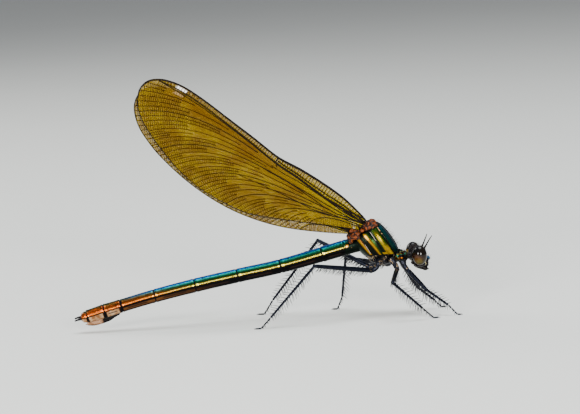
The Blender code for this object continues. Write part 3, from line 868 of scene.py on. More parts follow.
def make_mouthparts():
    """The upper lip, the lower lip and the jaws' pale roots, each its own rounded plates."""
    (x, y, z), radii, dip = LABRUM
    dipped = HEAD_FACING @ Matrix.Rotation(math.radians(dip), 3, "Y")
    upper = head_ball((x, y, z), radii, 48, 32, dipped)
    push(upper, lambda point, normal: -0.03 * bell(point.y, HEAD_CENTRE.y + 0.1, 0.08))
    (x, y, z), radii, dip = LABIUM
    dipped = HEAD_FACING @ Matrix.Rotation(math.radians(dip), 3, "Y")
    lower = [head_ball((x, y, z), radii, 48, 32, dipped)]
    (jaw_x, jaw_y, jaw_z), jaw_radii = MANDIBLE
    jaws = []
    for sign in (1, -1):
        lobe, palp = (x + 0.45, sign * 0.42, z - 0.14), (x + 0.96, sign * 0.30, z - 0.28)
        lower.append(head_ball(lobe, (0.48, 0.26, 0.30), 28, 18, dipped))
        lower.append(head_ball(palp, (0.16, 0.09, 0.08), 16, 10, dipped))
        jaws.append(head_ball((jaw_x, sign * jaw_y, jaw_z), jaw_radii, 28, 18))
    return upper, melted(lower, 0.05, 2), gather(jaws)


def make_antenna(sign):
    """Two thick joints at the root and a whip that thins to a point."""
    mirror = Matrix.Diagonal((1.0, sign, 1.0))
    root = head_point(*(mirror @ Vector(ANTENNA_ROOT)))
    rise = HEAD_FACING @ (mirror @ Vector(ANTENNA_RISE)).normalized()
    bow = HEAD_FACING @ Vector((0.07 - sign * 0.09, 0.0, 0.0))
    joints = []
    for start, end, thick in ((0.0, 0.26, 0.15), (0.22, 0.74, 0.13)):
        ends = [root + rise * start, root + rise * end]
        joints.append(bar(ends, tapered(thick, thick, 0.3), 16, 16))
    reaches = (0.62, 1.0, 1.45, 1.9, 2.25)
    whip = [root + rise * reach + bow * (reach / 1.9) ** 2 for reach in reaches]
    joints.append(bar(whip, tapered(0.12, 0.045, 0.05), 40, 10))
    return gather(joints)


def make_wing_base(pair):
    """Rumpled plates at the roots of one pair of wings, with small knobs between them."""
    draw = random.Random(11)
    lean = Matrix.Rotation(-WING_BASE_LEAN, 3, "Y")
    x, z, length, width, height = WING_BASES[pair]
    lumps = [ball(Vector((x, 0.0, z)), (length, width, height), lean)]
    for plate_x, y, plate_z, *radii in HINGE_PLATES[pair]:
        radii = [radius * 0.92 for radius in radii]
        for sign in (1, -1):
            place = Vector((plate_x, sign * y, plate_z - 0.2))
            tilt = lean @ Matrix.Rotation(sign * draw.uniform(-0.5, -0.1), 3, "X")
            lumps.append(ball(place, radii, tilt, 24, 16))
            knob = place + Vector((draw.uniform(-0.35, 0.35), sign * 0.08, draw.uniform(-0.2, 0.3)))
            size = draw.uniform(0.12, 0.2)
            lumps.append(ball(knob, (size, size * 0.8, size), tilt, 16, 10))
    return melted(lumps, GRAIN, 2)


def make_ovipositor():
    """The egg-laying blades under the tail, with their valves and two short feelers."""

    def place(share, turn):
        x, z, height, width = smooth_row(OVIPOSITOR_ROWS, share)
        rise, side = round_way(turn)
        under = abs(turn - 0.5)
        crease = 1 - 0.12 * bell(under, 0.0, 0.03) - 0.08 * bell(under, 0.2, 0.03)
        keel = 0.95 + 0.12 * max(-rise, 0.0)
        return Vector((x, side * width * crease, z + rise * height * crease * keel))

    blades = [rolled(place, 80, 56)]
    for sign in (1, -1):
        feeler = ((-23.15, sign * 0.16, 1.30), (-23.75, sign * 0.22, 1.10))
        blades.append(bar(feeler, tapered(0.06, 0.03, 0.2), 14, 10))
    return gather(blades)


def make_cercus(sign):
    """A stout pointed tail appendage that bows outwards and in again."""
    joints = abdomen_line()
    heading = (joints[-1] - joints[-2]).normalized()
    root = joints[-1] - heading * 0.12 + Vector((0.0, sign * 0.28, 0.08 + sign * 0.09))
    points = []
    for share, out, rise in CERCUS_BOW:
        points.append(root + heading * CERCUS_LENGTH * share + Vector((0.0, sign * out, rise)))
    return bar(points, tapered(0.17, 0.09, 0.12), 36, 20)


class WingPlan:
    """One wing: its rim, the places in its plane and the lines of its veins."""

    def __init__(self, wing, sign):
        self.length = wing["length"]
        self.sign = sign
        self.root = Vector((wing["root"][0], 0.0, wing["root"][1]))
        self.nodus = wing["nodus"]
        self.offsets = wing["offsets"]
        angle = math.radians(wing["angle"])
        self.along = Vector((-math.cos(angle), 0.0, math.sin(angle)))
        self.across = Vector((math.sin(angle), 0.0, math.cos(angle)))
        corners = [(share * self.length, offset) for share, offset in wing["outline"]]
        smooth = [smooth_row(corners, share) for share in np.linspace(0, 1, 20 * len(corners))]
        self.rim = even_points(smooth, RIM_POINTS)
        lead = self.rim[: int(0.5 * RIM_POINTS)]
        self.lead = lead[: int(lead[:, 0].argmax()) + 1]
        self.subcosta = self.front_vein([(share * self.nodus, drop) for share, drop in SUBCOSTA])
        stations = [(share * self.nodus, drop) for share, drop in RADIUS]
        stations += [(mix(self.nodus, 1.0, share), drop) for share, drop in RADIUS_BEYOND]
        self.radius = self.front_vein(stations)

    def side(self, a, c):
        """How far out the membrane lies: its slant from root to tip and its pleats."""
        share = clamped(a / self.length)
        pleat = 0.05 * math.sin(c * 2.9 + 0.5) * eased(0.0, 0.2, share) * eased(1.02, 0.8, share)
        bow = 0.12 * math.sin(share * math.pi) * math.sin(c * 0.32 + 0.4)
        return self.sign * (mix(*self.offsets, share) + pleat + bow * 0.5)

    def place(self, a, c):
        spot = self.root + self.along * a + self.across * c
        spot.y = self.side(a, c)
        return spot

    def rim_at(self, share):
        index, rest = stretch(clamped(share), RIM_POINTS)
        return mix(self.rim[index], self.rim[index + 1], rest)

    def leading(self, a):
        """The height of the leading edge at a distance from the root."""
        return np.interp(a, *self.lead.T)

    def ray(self, t):
        """A vein of the fan as points: t is 0 next to the leading edge and 1 at the hind root.

        It arches down to the rim, and where it would cross the strong front vein it is pressed
        below it.
        """
        start = mix(self.rim[0], self.rim[-1], 0.25 + 0.5 * t)
        finish = self.rim_at(mix(LEADING_END, TRAILING_END, t))
        chord = finish - start

        def turned(degrees):
            angle = math.radians(degrees)
            cos, sin = math.cos(angle), math.sin(angle)
            return np.array((chord[0] * cos - chord[1] * sin, chord[0] * sin + chord[1] * cos))

        leave = start + turned(2 + 13 * t) * 0.42
        arrive = finish - turned(-8 - 26 * (1 - math.exp(-t / 0.08)) - 16 * t) * 0.3
        s = np.linspace(0, 1, 360)[:, None]
        line = start * (1 - s) ** 3 + leave * 3 * s * (1 - s) ** 2
        line = line + arrive * 3 * s * s * (1 - s) + finish * s ** 3
        roof = np.interp(line[:, 0], *self.radius.T) - 0.08
        pressed = roof - 0.3 * np.log1p(np.exp((roof - line[:, 1]) / 0.3))
        hold = np.interp(line[:, 0] / self.length, (0.0, 0.06, 0.86, 0.95), (0.0, 1.0, 1.0, 0.0))
        line[:, 1] += (pressed - line[:, 1]) * hold
        return line

    def front_vein(self, stations):
        """A vein set below the leading edge, by (share of the wing's length, how far below it)."""
        shares, drops = zip(*stations)
        places = np.linspace(shares[0], shares[-1], 260)
        a = places * self.length
        return np.column_stack((a, self.leading(a) - np.interp(places, shares, drops)))


def nearest_on(line, points):
    """For each point, the nearest point of a line, its number and the distance."""
    gaps = np.linalg.norm(points[:, None, :] - line[None, :, :], axis=2)
    index = gaps.argmin(axis=1)
    return line[index], index, gaps[np.arange(len(points)), index]


def vein_lines(plan, closeness, draw):
    """The fan of long veins as (line, level): halfway veins begin where there is room for them."""
    levels = len(FAN_THICKNESS)
    count = FAN_BASE * 2 ** (levels - 1)
    rays = [plan.ray(number / count) for number in range(count + 1)]
    kept = {}
    for level in range(levels):
        step = 2 ** (levels - 1 - level)
        for number in range(0, count + 1, step):
            if number in kept:
                continue
            line = rays[number]
            if level:
                beside = (rays[number - step], rays[number + step])
                room = np.minimum(*(nearest_on(other, line)[2] for other in beside))
                tight = np.nonzero(room < closeness * draw.uniform(0.8, 1.3))[0]
                first = int(tight.max()) + 1 if len(tight) else 0
                if first > len(line) * 0.94:
                    continue
                line = line[first:]
            kept[number] = (line, level)
    return [kept[number] for number in sorted(kept)]


def rungs(upper, lower, spacing, draw):
    """Cross-veins from points along one line to the nearest points of the next."""
    marks = []
    end = distances(upper)[-1]
    reach = spacing * draw.random()
    while reach < end:
        marks.append(reach)
        reach += spacing * draw.uniform(0.82, 1.2)
    if not marks:
        return []
    tops = points_at(marks, upper)
    feet, index, gaps = nearest_on(lower, tops)
    inside = (index > 0) & (index < len(lower) - 1) & (gaps > 0.05) & (gaps < WIDEST_RUNG)
    return [(top, foot) for top, foot, good in zip(tops, feet, inside) if good]


def wing_veins(plan, settings, seed):
    """All veins of one wing as threads: the strong front ones and the fine net."""
    draw = random.Random(seed)
    subcosta, radius = plan.subcosta, plan.radius
    notch = int(np.searchsorted(radius[:, 0], plan.nodus * plan.length))
    edge = np.array((radius[notch, 0], plan.leading(radius[notch, 0])))
    fan = vein_lines(plan, settings.cell_length / MM * 0.95, draw)
    middle = RIM_POINTS // 2
    front_rim = np.vstack((plan.rim[:middle:2], plan.rim[middle]))
    first, last = plan.rim[0], plan.rim[-1]
    dive = np.array((0.30, 0.45))
    # Each line with the share of the thickness at its start and at its end
    strong = [
        (front_rim, 1.35, 0.75), (plan.rim[middle::2], 0.75, 0.42),
        (subcosta[::VEIN_STEP], 1.15, 0.9), (radius[::VEIN_STEP], 1.3, 0.85),
        ((edge, radius[notch], radius[notch] - (0.5, 0.45)), 1.2, 0.8),
        ((first - dive, first, radius[24]), 1.2, 0.8),
        ((first - dive, first, subcosta[40]), 1.2, 0.8),
        ((last, last + dive, last + (1.2, 0.05)), 1.2, 0.8),
        ((first, mix(first, last, 0.5) - dive * 0.3, last), 1.2, 1.2),
        *((plan.front_vein(branch)[::VEIN_STEP], 0.85, 0.55) for branch in BRANCHES),
    ]
    fine = []
    for line, level in fan:
        if len(line) > 2 * VEIN_STEP:
            thick = FAN_THICKNESS[level]
            points = np.vstack((line[:-1:VEIN_STEP], line[-1]))
            (strong if level < 2 else fine).append((points, thick * 0.95, thick * 0.62))
    spacing = settings.cell_width / MM
    bars = []
    for (upper, _), (lower, _) in zip(fan, fan[1:]):
        bars += rungs(*sorted((lower, upper), key=len), spacing, draw)
    bars += rungs(radius, fan[0][0], spacing * 1.1, draw)
    bars += rungs(fan[-1][0], plan.rim[int(TRAILING_END * RIM_POINTS):], spacing, draw)
    front = plan.rim[4:middle]
    stout_bars = rungs(subcosta, front, 0.44, draw)
    stout_bars += rungs(radius[:notch], subcosta, 0.40, draw)
    stout_bars += rungs(radius[notch + 4:], front, 0.36, draw)
    fine += [(bar_ends, 0.32, 0.32) for bar_ends in bars]
    fine += [(bar_ends, 0.50, 0.50) for bar_ends in stout_bars]

    def lifted(line, start, end):
        shares = [number / (len(line) - 1) for number in range(len(line))]
        return [(plan.place(*spot), mix(start, end, share)) for spot, share in zip(line, shares)]

    return [[lifted(*row) for row in rows] for rows in (strong, fine)]


def make_membrane(plan, thickness):
    """The film between the veins, laid between the rim's two sides and given a thickness.

    It keeps how far along and how far behind the leading edge each point lies.
    """
    def place(out, back):
        lead, trail = plan.rim_at(out * 0.5), plan.rim_at(1 - out * 0.5)
        a, c = mix(lead, trail, back)
        return plan.place(a, c), a / plan.length, plan.leading(a) - c

    mesh = surface(place, 120, 26)
    bmesh.ops.recalc_face_normals(mesh, faces=mesh.faces)
    bmesh.ops.solidify(mesh, geom=mesh.faces[:], thickness=thickness)
    bmesh.ops.recalc_face_normals(mesh, faces=mesh.faces)
    return mesh


def limb(start, end, first, last, bulge=0.0, ridges=0.0, rows=40, sides=24):
    """One stiff joint of a leg: a tapering bar with rounded ends and, if asked, ridges along it."""
    _, across, up = level_frame(start, end)
    reach = max(first, last) / (end - start).length

    def place(share, turn):
        rise, side = round_way(turn)
        size = mix(first, last, share) + bulge * math.sin(math.pi * share)
        size *= round_end(share, reach)
        size *= 1 + ridges * math.cos(4 * math.tau * turn)
        return start.lerp(end, share) + (up * rise + across * side) * size

    return rolled(place, rows, sides)


def leg_joints(name):
    """The joints of a leg, its sole lowered to the true thickness of the foot."""
    joints = [Vector(place) for place in LEGS[name]]
    for joint in joints[-2:]:
        joint.z = SOLE_RADIUS
    return joints


def make_leg(name):
    coxa, hip, trochanter, knee, ankle, sole, toe = leg_joints(name)
    base = [coxa, hip, trochanter, trochanter.lerp(knee, 0.08)]
    _, joint_one, joint_two, _ = distances(base) / distances(base)[-1]

    def stout(share):
        neck = 0.20 * bell(share, joint_one, 0.035) + 0.16 * bell(share, joint_two, 0.03)
        swell = 0.10 * bell(share, joint_one * 0.55, 0.12)
        return mix(0.46, 0.29, share) * (1 - neck + swell) * round_end(share, 0.12)

    forms = [
        bar(base, stout, 72, 28),
        limb(trochanter, knee, 0.31, 0.235, 0.02, 0.05, 90),
        ball(knee, (0.24, 0.225, 0.24), None, 20, 14),
        limb(knee, ankle, 0.185, 0.14, 0.0, 0.06, 90),
    ]
    foot = [ankle, ankle.lerp(sole, 0.34), ankle.lerp(sole, 0.72), sole, toe]
    for start, end, radii in zip(foot, foot[1:], FOOT_RADII):
        forms.append(limb(start, end, *radii, rows=24, sides=16))
    forward = (toe - sole).normalized()
    across = forward.cross(UP)
    for sign in (1, -1):
        points = []
        for ahead, out, drop in ((0.0, 0.05, 0.0), (0.16, 0.12, 0.0), (0.30, 0.16, 0.05)):
            points.append(toe + forward * (ahead - 0.05) + across * sign * out - UP * drop)
        forms.append(bar(points, lambda share: 0.05 * (1 - share) + 0.006, 14, 10))
    return gather(forms)


def leg_bristles(name, length):
    """Rows of long bristles along the femur and tibia, and short ones under the foot."""
    draw = random.Random(sum(ord(letter) for letter in name))
    *_, trochanter, knee, ankle, sole, _ = leg_joints(name)
    hairs = []
    spans = (
        (trochanter, knee, 0.26, 0.92, (155, 180, 205)),
        (knee, ankle, 0.15, 1.0, (25, 155, 200)),
        (ankle, sole, 0.08, 0.34, (150, 210)),
    )
    for span, (start, end, thick, scale, turns) in enumerate(spans):
        heading, across, up = level_frame(start, end)
        count = int((end - start).length / BRISTLE_SPACING)
        for turn, number in itertools.product(turns, range(count)):
            share = (number + 0.5 + draw.uniform(-0.25, 0.25)) / count
            if share < 0.06 or share > 0.97:
                continue
            angle = math.radians(turn + draw.uniform(-9, 9))
            out = up * math.cos(angle) + across * math.sin(angle)
            root = start.lerp(end, share) + out * thick * 0.8
            aim = (out + heading * draw.uniform(0.45, 0.65)).normalized()
            size = length * scale * draw.uniform(0.75, 1.05)
            size *= 0.6 + 0.4 * math.sin(math.pi * share)
            if root.z + aim.z * size < FLOOR_GAP:
                size = max((root.z - FLOOR_GAP) / max(-aim.z, 0.01), 0.0)
            if size >= 0.1:
                patch = (clamped(0.05 + span * 0.3 + share * 0.25), clamped(turn / 400))
                hairs.append((hair_line(root, aim, size, heading * 0.06), patch))
    return hairs


def body_hairs(piece, count, seed, length, wanted, drift):
    """Soft hairs standing on a skin, leaning towards drift."""
    hairs = []
    low, high = SOLID_BOX
    for point, normal, chance in skin_spots(piece, count, seed, wanted):
        aim = (normal + drift * 0.45 + Vector((0.0, 0.0, 0.1 * chance))).normalized()
        along = (point.x * MM - low.x) / (high.x - low.x)
        around = math.atan2(normal.y, normal.z) / math.tau + 0.5
        line = hair_line(point, aim, length * (0.6 + 0.7 * chance), drift * 0.12)
        hairs.append((line, (clamped(along, 0, 0.99), clamped(around, 0, 0.99))))
    return hairs


def abdomen_finish():
    """Metal cuticle: blue along the back, a painted sky reflection, then green, a gold line at the
    side that is a painted highlight, and black below.

    Towards the tail the back turns copper, and the last segments have cream patches.
    """
    finish = Finish("abdomen_metal", Specular_IOR_Level=0.2)
    x, *_ = finish.axes()
    along = finish.attribute("along") * len(SEGMENT_LENGTHS)
    around = finish.attribute("around")
    inside = along.math("FRACT", along)
    wave = finish.noise(0.9, 2.0)
    grain = finish.noise(9.0, 3.0)
    edge = around + (wave - 0.5) * 0.02 + (grain - 0.5) * 0.012
    # The blue at the top of the round, from 0 to 0.19, is a painted sky reflection
    bright = finish.ramp(edge, (
        (0.0, (0.0, 0.09, 0.60)), (0.12, (0.0, 0.13, 0.62)), (0.19, (0.0, 0.16, 0.26)),
        (0.25, (0.002, 0.10, 0.05)), (0.32, (0.006, 0.055, 0.018)), (0.375, (0.012, 0.04, 0.006)),
        # The gold line from 0.42 to 0.46 is a painted highlight along the side
        (0.40, (0.008, 0.010, 0.003)), (0.420, (0.26, 0.20, 0.01)), (0.44, (0.55, 0.46, 0.06)),
        (0.460, (0.24, 0.15, 0.005)), (0.472, (0.003, 0.003, 0.003)), (1.0, (0.003, 0.003, 0.004)),
    ))
    # Towards the tail the same painted highlight is the orange line from 0.425 to 0.455
    warm = finish.ramp(edge, (
        (0.0, (0.015, 0.08, 0.04)), (0.10, (0.02, 0.06, 0.015)), (0.20, (0.06, 0.035, 0.006)),
        (0.32, (0.15, 0.035, 0.004)), (0.40, (0.20, 0.040, 0.004)), (0.425, (0.75, 0.20, 0.012)),
        (0.455, (0.55, 0.13, 0.008)), (0.472, (0.006, 0.003, 0.003)),
        (0.565, (0.004, 0.003, 0.003)), (0.60, (0.13, 0.050, 0.014)), (0.71, (0.10, 0.036, 0.010)),
        (0.75, (0.008, 0.005, 0.004)), (1.0, (0.006, 0.004, 0.004)),
    ))
    cream = finish.ramp(finish.noise(1.8, 2.0), (
        (0.38, (0.16, 0.058, 0.014)), (0.50, (0.27, 0.14, 0.06)), (0.62, (0.36, 0.23, 0.13)),
    ))
    tail = (along + (wave - 0.5) * 0.8 + (around - 0.14) * 2.2).rise(5.5, 7.2)
    red = along.rise(6.9, 7.2) * around.band(0.14, 0.46, 0.06)
    red = red * finish.noise(2.6, 3.0).rise(0.42, 0.60)
    fade = finish.noise(2.0, 4.0).rise(0.48, 0.66) * around.rise(0.50, 0.44)
    notch = inside.band(0.775, 0.795, 0.012) * around.rise(0.34, 0.22)
    notch = notch * along.rise(1.9, 2.0) * along.rise(7.0, 6.9)
    last = along.rise(6.98, 7.0)
    patch = last * edge.band(0.525, 0.80, 0.012) * inside.band(0.12, 0.89, 0.03)
    border = last * edge.band(0.485, 0.84, 0.012)
    streak = along.rise(8.0, 7.95) * edge.band(0.60, 0.665, 0.014) * inside.band(0.22, 0.80, 0.05)
    hook = inside.band(0.915, 0.965, 0.015) * around.band(0.395, 0.475, 0.02)
    hook = hook * along.band(1.5, 6.99, 0.02)
    ring = inside.rise(0.020, 0.010).at_least(inside.rise(0.976, 0.986))
    wide_ring = inside.rise(0.055, 0.035).at_least(inside.rise(0.94, 0.96))
    ring = ring.at_least(wide_ring * along.rise(6.9, 6.95))
    root = x.rise(10.35, 10.6) * wave.rise(0.30, 0.55)
    spot = x.band(10.55, 10.88, 0.06) * around.band(0.36, 0.45, 0.03) * grain.rise(0.35, 0.5)
    rim = x.band(11.22, 11.36, 0.03) * around.band(0.34, 0.50, 0.05)
    rim = rim * finish.noise(2.4, 2.0).rise(0.45, 0.55)
    colour = finish.layers(finish.blend(tail, bright, warm), (
        (red * 0.8, (0.52, 0.075, 0.006)),
        (fade * (along.rise(6.6, 7.2) * 0.35 + 0.4), (0.010, 0.014, 0.006)),
        (notch * 0.75, (0.004, 0.012, 0.016)),
        (border, (0.010, 0.006, 0.005)),
        (patch, cream),
        (streak * 0.9, (0.02, 0.010, 0.008)),
        (hook, finish.blend(tail, (0.95, 0.75, 0.10), (0.95, 0.24, 0.012))),
        (ring, (0.003, 0.003, 0.004)),
        (root * 0.85, (0.003, 0.010, 0.006)),
        (spot, (0.90, 0.36, 0.015)),
        ((x + around * 1.2).rise(11.20, 11.40), (0.003, 0.006, 0.004)),
        (rim * 0.8, (0.42, 0.26, 0.08)),
    ))
    return finish.closed(
        colour, finish.noise(14.0, 3.0) + finish.cells(7.0) * 0.5, 0.02, 0.45,
        Metallic=(1 - patch) * 0.93, Roughness=grain * 0.14 + ring * 0.2 + patch * 0.25 + 0.22,
    )


def thorax_finish():
    """Metal plates in stripes of teal, green and gold, between black sutures with cream lines.
    The gold stripes beside the sutures are painted highlights, and the blue at the top of the
    teal stripe is a painted sky reflection.
    """
    finish = Finish("thorax_metal", Specular_IOR_Level=0.35)
    x, _, z = finish.axes()
    back, down = stripe_place(x, z)
    wave = finish.noise(1.1, 2.0)
    grain = finish.noise(6.0, 3.0)
    across = back + down * 0.10 * back.rise(-0.1, 0.4) + (wave - 0.5) * 0.07 + (grain - 0.5) * 0.03
    low, high = STRIPES[0][0], STRIPES[-1][0]
    stops = [((at - low) / (high - low), colour) for at, colour in STRIPES]
    panel = across.band(-1.30, -0.57, 0.05)
    # Bluer towards the top of the teal stripe: a painted sky reflection
    painted_sky_blue = across.band(-2.02, -1.56, 0.04) * down.rise(-0.3, -1.5)
    floor = down + back * 0.82 - 1.62
    foot = floor.band(-0.36, -0.06, 0.05) * across.band(-1.18, -0.12, 0.06)
    shade = finish.noise(3.0, 4.0).rise(0.42, 0.72)
    broken = finish.noise(4.0, 2.0).rise(0.36, 0.46)
    line_a = back.band(-0.32, -0.27, 0.012) * down.band(-1.62, -0.35, 0.1)
    line_b = (back - down * 0.06).band(1.215, 1.245, 0.010) * down.band(-0.95, 0.40, 0.1)
    marks = back.band(-1.50, -1.42, 0.02) * down.band(-1.4, -0.4, 0.1) * broken
    rim = back.band(2.42, 2.50, 0.02) * down.rise(1.0, 0.6) * broken
    pale = line_a.at_least(line_b).at_least(rim)
    ceiling = down - (back * -0.35 - 1.95).at_least(-2.18) - 0.10
    black = ceiling.rise(0.03, -0.05).at_least(floor.rise(-0.04, 0.04))
    fleck = finish.noise(1.9, 2.0).rise(0.60, 0.64) * ceiling.rise(0.0, -0.05)
    joint = finish.noise(1.2, 3.0).band(0.565, 0.60, 0.012)
    joint = joint * floor.rise(0.1, 0.2) * z.rise(7.2, 7.5)
    colour = finish.layers(finish.ramp((across - low) / (high - low), stops), (
        (panel * down.rise(-0.8, -1.5) * 0.85, (0.012, 0.075, 0.006)),
        (panel * down.rise(0.7, 1.7) * 0.6, (0.50, 0.26, 0.004)),
        (painted_sky_blue * 0.75, (0.004, 0.10, 0.17)),
        (foot, (0.40, 0.22, 0.0)),
        (shade * 0.32, (0.004, 0.014, 0.008)),
        (black, (0.005, 0.005, 0.006)),
        (fleck, (0.01, 0.10, 0.03)),
        (z.rise(8.1, 7.7), (0.010, 0.010, 0.013)),
        (joint, (0.30, 0.21, 0.11)),
        (pale, (0.48, 0.43, 0.37)),
        (marks, (0.55, 0.34, 0.12)),
    ))
    flat = pale.at_least(joint).at_least(marks)
    return finish.closed(
        colour, finish.noise(12.0, 3.0) + finish.cells(6.0) * 0.6, 0.02, 0.45,
        Metallic=(1 - flat) * 0.92, Roughness=finish.noise(8.0, 2.0) * 0.2 + 0.18,
    )


def prothorax_finish():
    """Dark plates flecked with metallic green, blue and copper."""
    finish = Finish("prothorax_metal", Specular_IOR_Level=0.15)
    x, y, z = finish.axes()
    spots = finish.ramp(finish.noise(1.3, 2.0, 0.5), (
        (0.32, (0.002, 0.002, 0.003)), (0.52, (0.002, 0.003, 0.004)), (0.54, (0.005, 0.10, 0.12)),
        (0.56, (0.01, 0.16, 0.03)), (0.575, (0.10, 0.09, 0.002)), (0.59, (0.28, 0.07, 0.0)),
        (0.605, (0.002, 0.003, 0.004)),
    ))
    side = abs(y).rise(0.85, 1.0) * z.rise(7.9, 7.7) * z.rise(7.2, 7.35)
    under = z.rise(7.45, 7.1)
    neck = x.rise(18.45, 18.65)
    colour = finish.layers(spots, (
        (side * finish.noise(1.8, 1.0).rise(0.57, 0.60), (0.42, 0.12, 0.01)),
        (under, (0.006, 0.006, 0.008)),
        (neck, (0.007, 0.006, 0.007)),
    ))
    return finish.closed(
        colour, finish.noise(10.0, 3.0) + finish.cells(5.0) * 0.5, 0.02, 0.6,
        Metallic=(1 - under) * (1 - neck) * 0.8, Roughness=finish.noise(8.0, 2.0) * 0.2 + 0.28,
    )


def head_finish():
    """Dark purple cuticle with a metallic nose shield, whose light blue top is a painted highlight.
    """
    finish = Finish("head_cuticle", Specular_IOR_Level=0.14)
    x, y, z = finish.axes()
    wave = finish.noise(2.0, 3.0)
    purple = finish.ramp(wave, (
        (0.3, (0.002, 0.002, 0.003)), (0.5, (0.005, 0.003, 0.005)), (0.7, (0.014, 0.006, 0.007)),
    ))
    nose = x.rise(20.95, 21.15) * z.band(6.80, 7.62, 0.05) * abs(y - 0.12).rise(0.70, 0.55)
    # Painted highlight: the top of the nose shield is a lighter blue
    painted_nose_highlight = (z + x * 0.3).rise(13.58, 13.70)
    bronze = x.rise(20.2, 20.5) * z.rise(7.95, 8.2)
    colour = finish.layers(purple, (
        (nose, finish.blend(painted_nose_highlight, (0.003, 0.005, 0.007), (0.05, 0.17, 0.34))),
        (bronze * wave.rise(0.4, 0.6) * 0.5, (0.05, 0.06, 0.03)),
    ))
    return finish.closed(
        colour, finish.noise(9.0, 4.0) + finish.cells(8.0) * 0.6, 0.03, 0.6,
        Metallic=nose * 0.3 + 0.55, Roughness=0.42 - nose * 0.22,
    )


def eye_finish():
    """A faceted eye, near black on top, red-brown across the middle and olive below."""
    gloss = {"Coat_Weight": 0.40, "Coat_Roughness": 0.04, "Roughness": 0.16}
    finish = Finish("compound_eye", Specular_IOR_Level=0.04, **gloss)
    x, _, z = finish.axes()
    height = z - HEAD_CENTRE.z
    level = height / EYE_RADII[2] + (finish.noise(1.4, 2.0) - 0.5) * 0.3
    tones = finish.ramp(level * 0.5 + 0.5, (
        (0.04, (0.030, 0.020, 0.001)), (0.20, (0.090, 0.064, 0.006)), (0.34, (0.095, 0.045, 0.002)),
        (0.45, (0.050, 0.014, 0.001)), (0.54, (0.010, 0.003, 0.001)), (0.68, (0.003, 0.002, 0.002)),
        (0.88, (0.003, 0.003, 0.004)), (1.0, (0.016, 0.015, 0.020)),
    ))
    lower = height.rise(0.35, -0.05)
    facets = finish.cells(26.0)
    colour = finish.layers(tones, (
        ((x + height * 0.25).rise(19.85, 20.35) * 0.8, (0.007, 0.004, 0.002)),
        ((x - height * 0.15).band(19.40, 19.70, 0.1) * lower * 0.5, (0.070, 0.020, 0.001)),
        (x.rise(19.42, 19.22) * lower * 0.85, (0.020, 0.005, 0.002)),
        (x.rise(19.12, 19.02) * height.band(-0.75, 0.35, 0.1), (0.30, 0.17, 0.004)),
        (facets.rise(0.15, 0.6) * 0.45, (0.0, 0.0, 0.0)),
    ))
    return finish.closed(colour, 1 - facets, 0.006, 0.4)


def simple_eye_finish():
    """Glassy amber, for the three simple eyes."""
    finish = Finish("simple_eye", Coat_Weight=1.0, Coat_Roughness=0.03, Roughness=0.15)
    return finish.closed(finish.blend(finish.noise(4.0), (0.25, 0.16, 0.05), (0.42, 0.32, 0.14)))


def horn_finish(name, colour, roughness):
    """Dark horn with a fine grain."""
    finish = Finish(name, Metallic=0.6, Specular_IOR_Level=0.15)
    grain = finish.noise(7.0, 3.0)
    tint = finish.blend(grain.rise(0.3, 0.7), colour, dimmed(colour, 0.45))
    return finish.closed(tint, grain, 0.015, 0.4, Roughness=grain * 0.2 + roughness)


def ovipositor_finish():
    """Black at the root of the egg-laying blades, cream with brown edges towards the tail."""
    finish = Finish("ovipositor_horn", Roughness=0.4, Specular_IOR_Level=0.08)
    x, _, z = finish.axes()
    shade = finish.noise(3.0, 3.0)
    cream = finish.ramp(shade, ((0.35, (0.20, 0.09, 0.04)), (0.6, (0.36, 0.21, 0.13))))
    root = (x + (shade - 0.5) * 0.8).rise(-21.75, -21.35)
    edge = z.rise(1.20, 0.98).at_least((z + x * 0.28).rise(-3.90, -3.75))
    colour = finish.blend(root.at_least(edge * 0.85), cream, (0.003, 0.002, 0.002))
    return finish.closed(colour, shade, 0.03, 0.4)


def pale_finish():
    """Cream horn at the roots of the jaws, browner at its edges."""
    finish = Finish("jaw_cream", Roughness=0.35)
    shade = finish.noise(4.0, 2.0)
    cream = finish.ramp(shade, ((0.35, (0.50, 0.40, 0.16)), (0.6, (0.80, 0.70, 0.36))))
    return finish.closed(cream, shade, 0.02, 0.3)


def lip_finish():
    """Blue metal with dark edges, on the lip."""
    finish = Finish("lip_metal", Roughness=0.25, Specular_IOR_Level=0.15)
    *_, z = finish.axes()
    top = z.band(6.42, 6.62, 0.06)
    colour = finish.blend(top, (0.004, 0.004, 0.005), (0.004, 0.014, 0.028))
    return finish.closed(colour, finish.noise(10.0, 3.0), 0.02, 0.4, Metallic=top * 0.7)


def leg_finish():
    """Blue-black cuticle, with pale soft skin where the short joints meet near the body."""
    finish = Finish("leg_cuticle", Metallic=0.7, Specular_IOR_Level=0.15)
    x, _, z = finish.axes()
    grain = finish.noise(5.0, 3.0)
    dark = finish.blend(grain.rise(0.35, 0.65), (0.002, 0.003, 0.005), (0.008, 0.010, 0.020))
    high = z.rise(6.1, 6.7) * x.rise(13.0, 13.8)
    cream = finish.noise(1.5, 3.0).band(0.575, 0.605, 0.012)
    cream = cream * z.band(6.15, 7.5, 0.12) * x.rise(13.2, 13.8)
    colour = finish.layers(dark, (
        (high * 0.5, (0.022, 0.023, 0.030)),
        (cream, (0.36, 0.25, 0.14)),
    ))
    height = grain + finish.noise(16.0, 2.0) * 0.5
    return finish.closed(colour, height, 0.015, 0.5, Roughness=grain * 0.2 + 0.22)


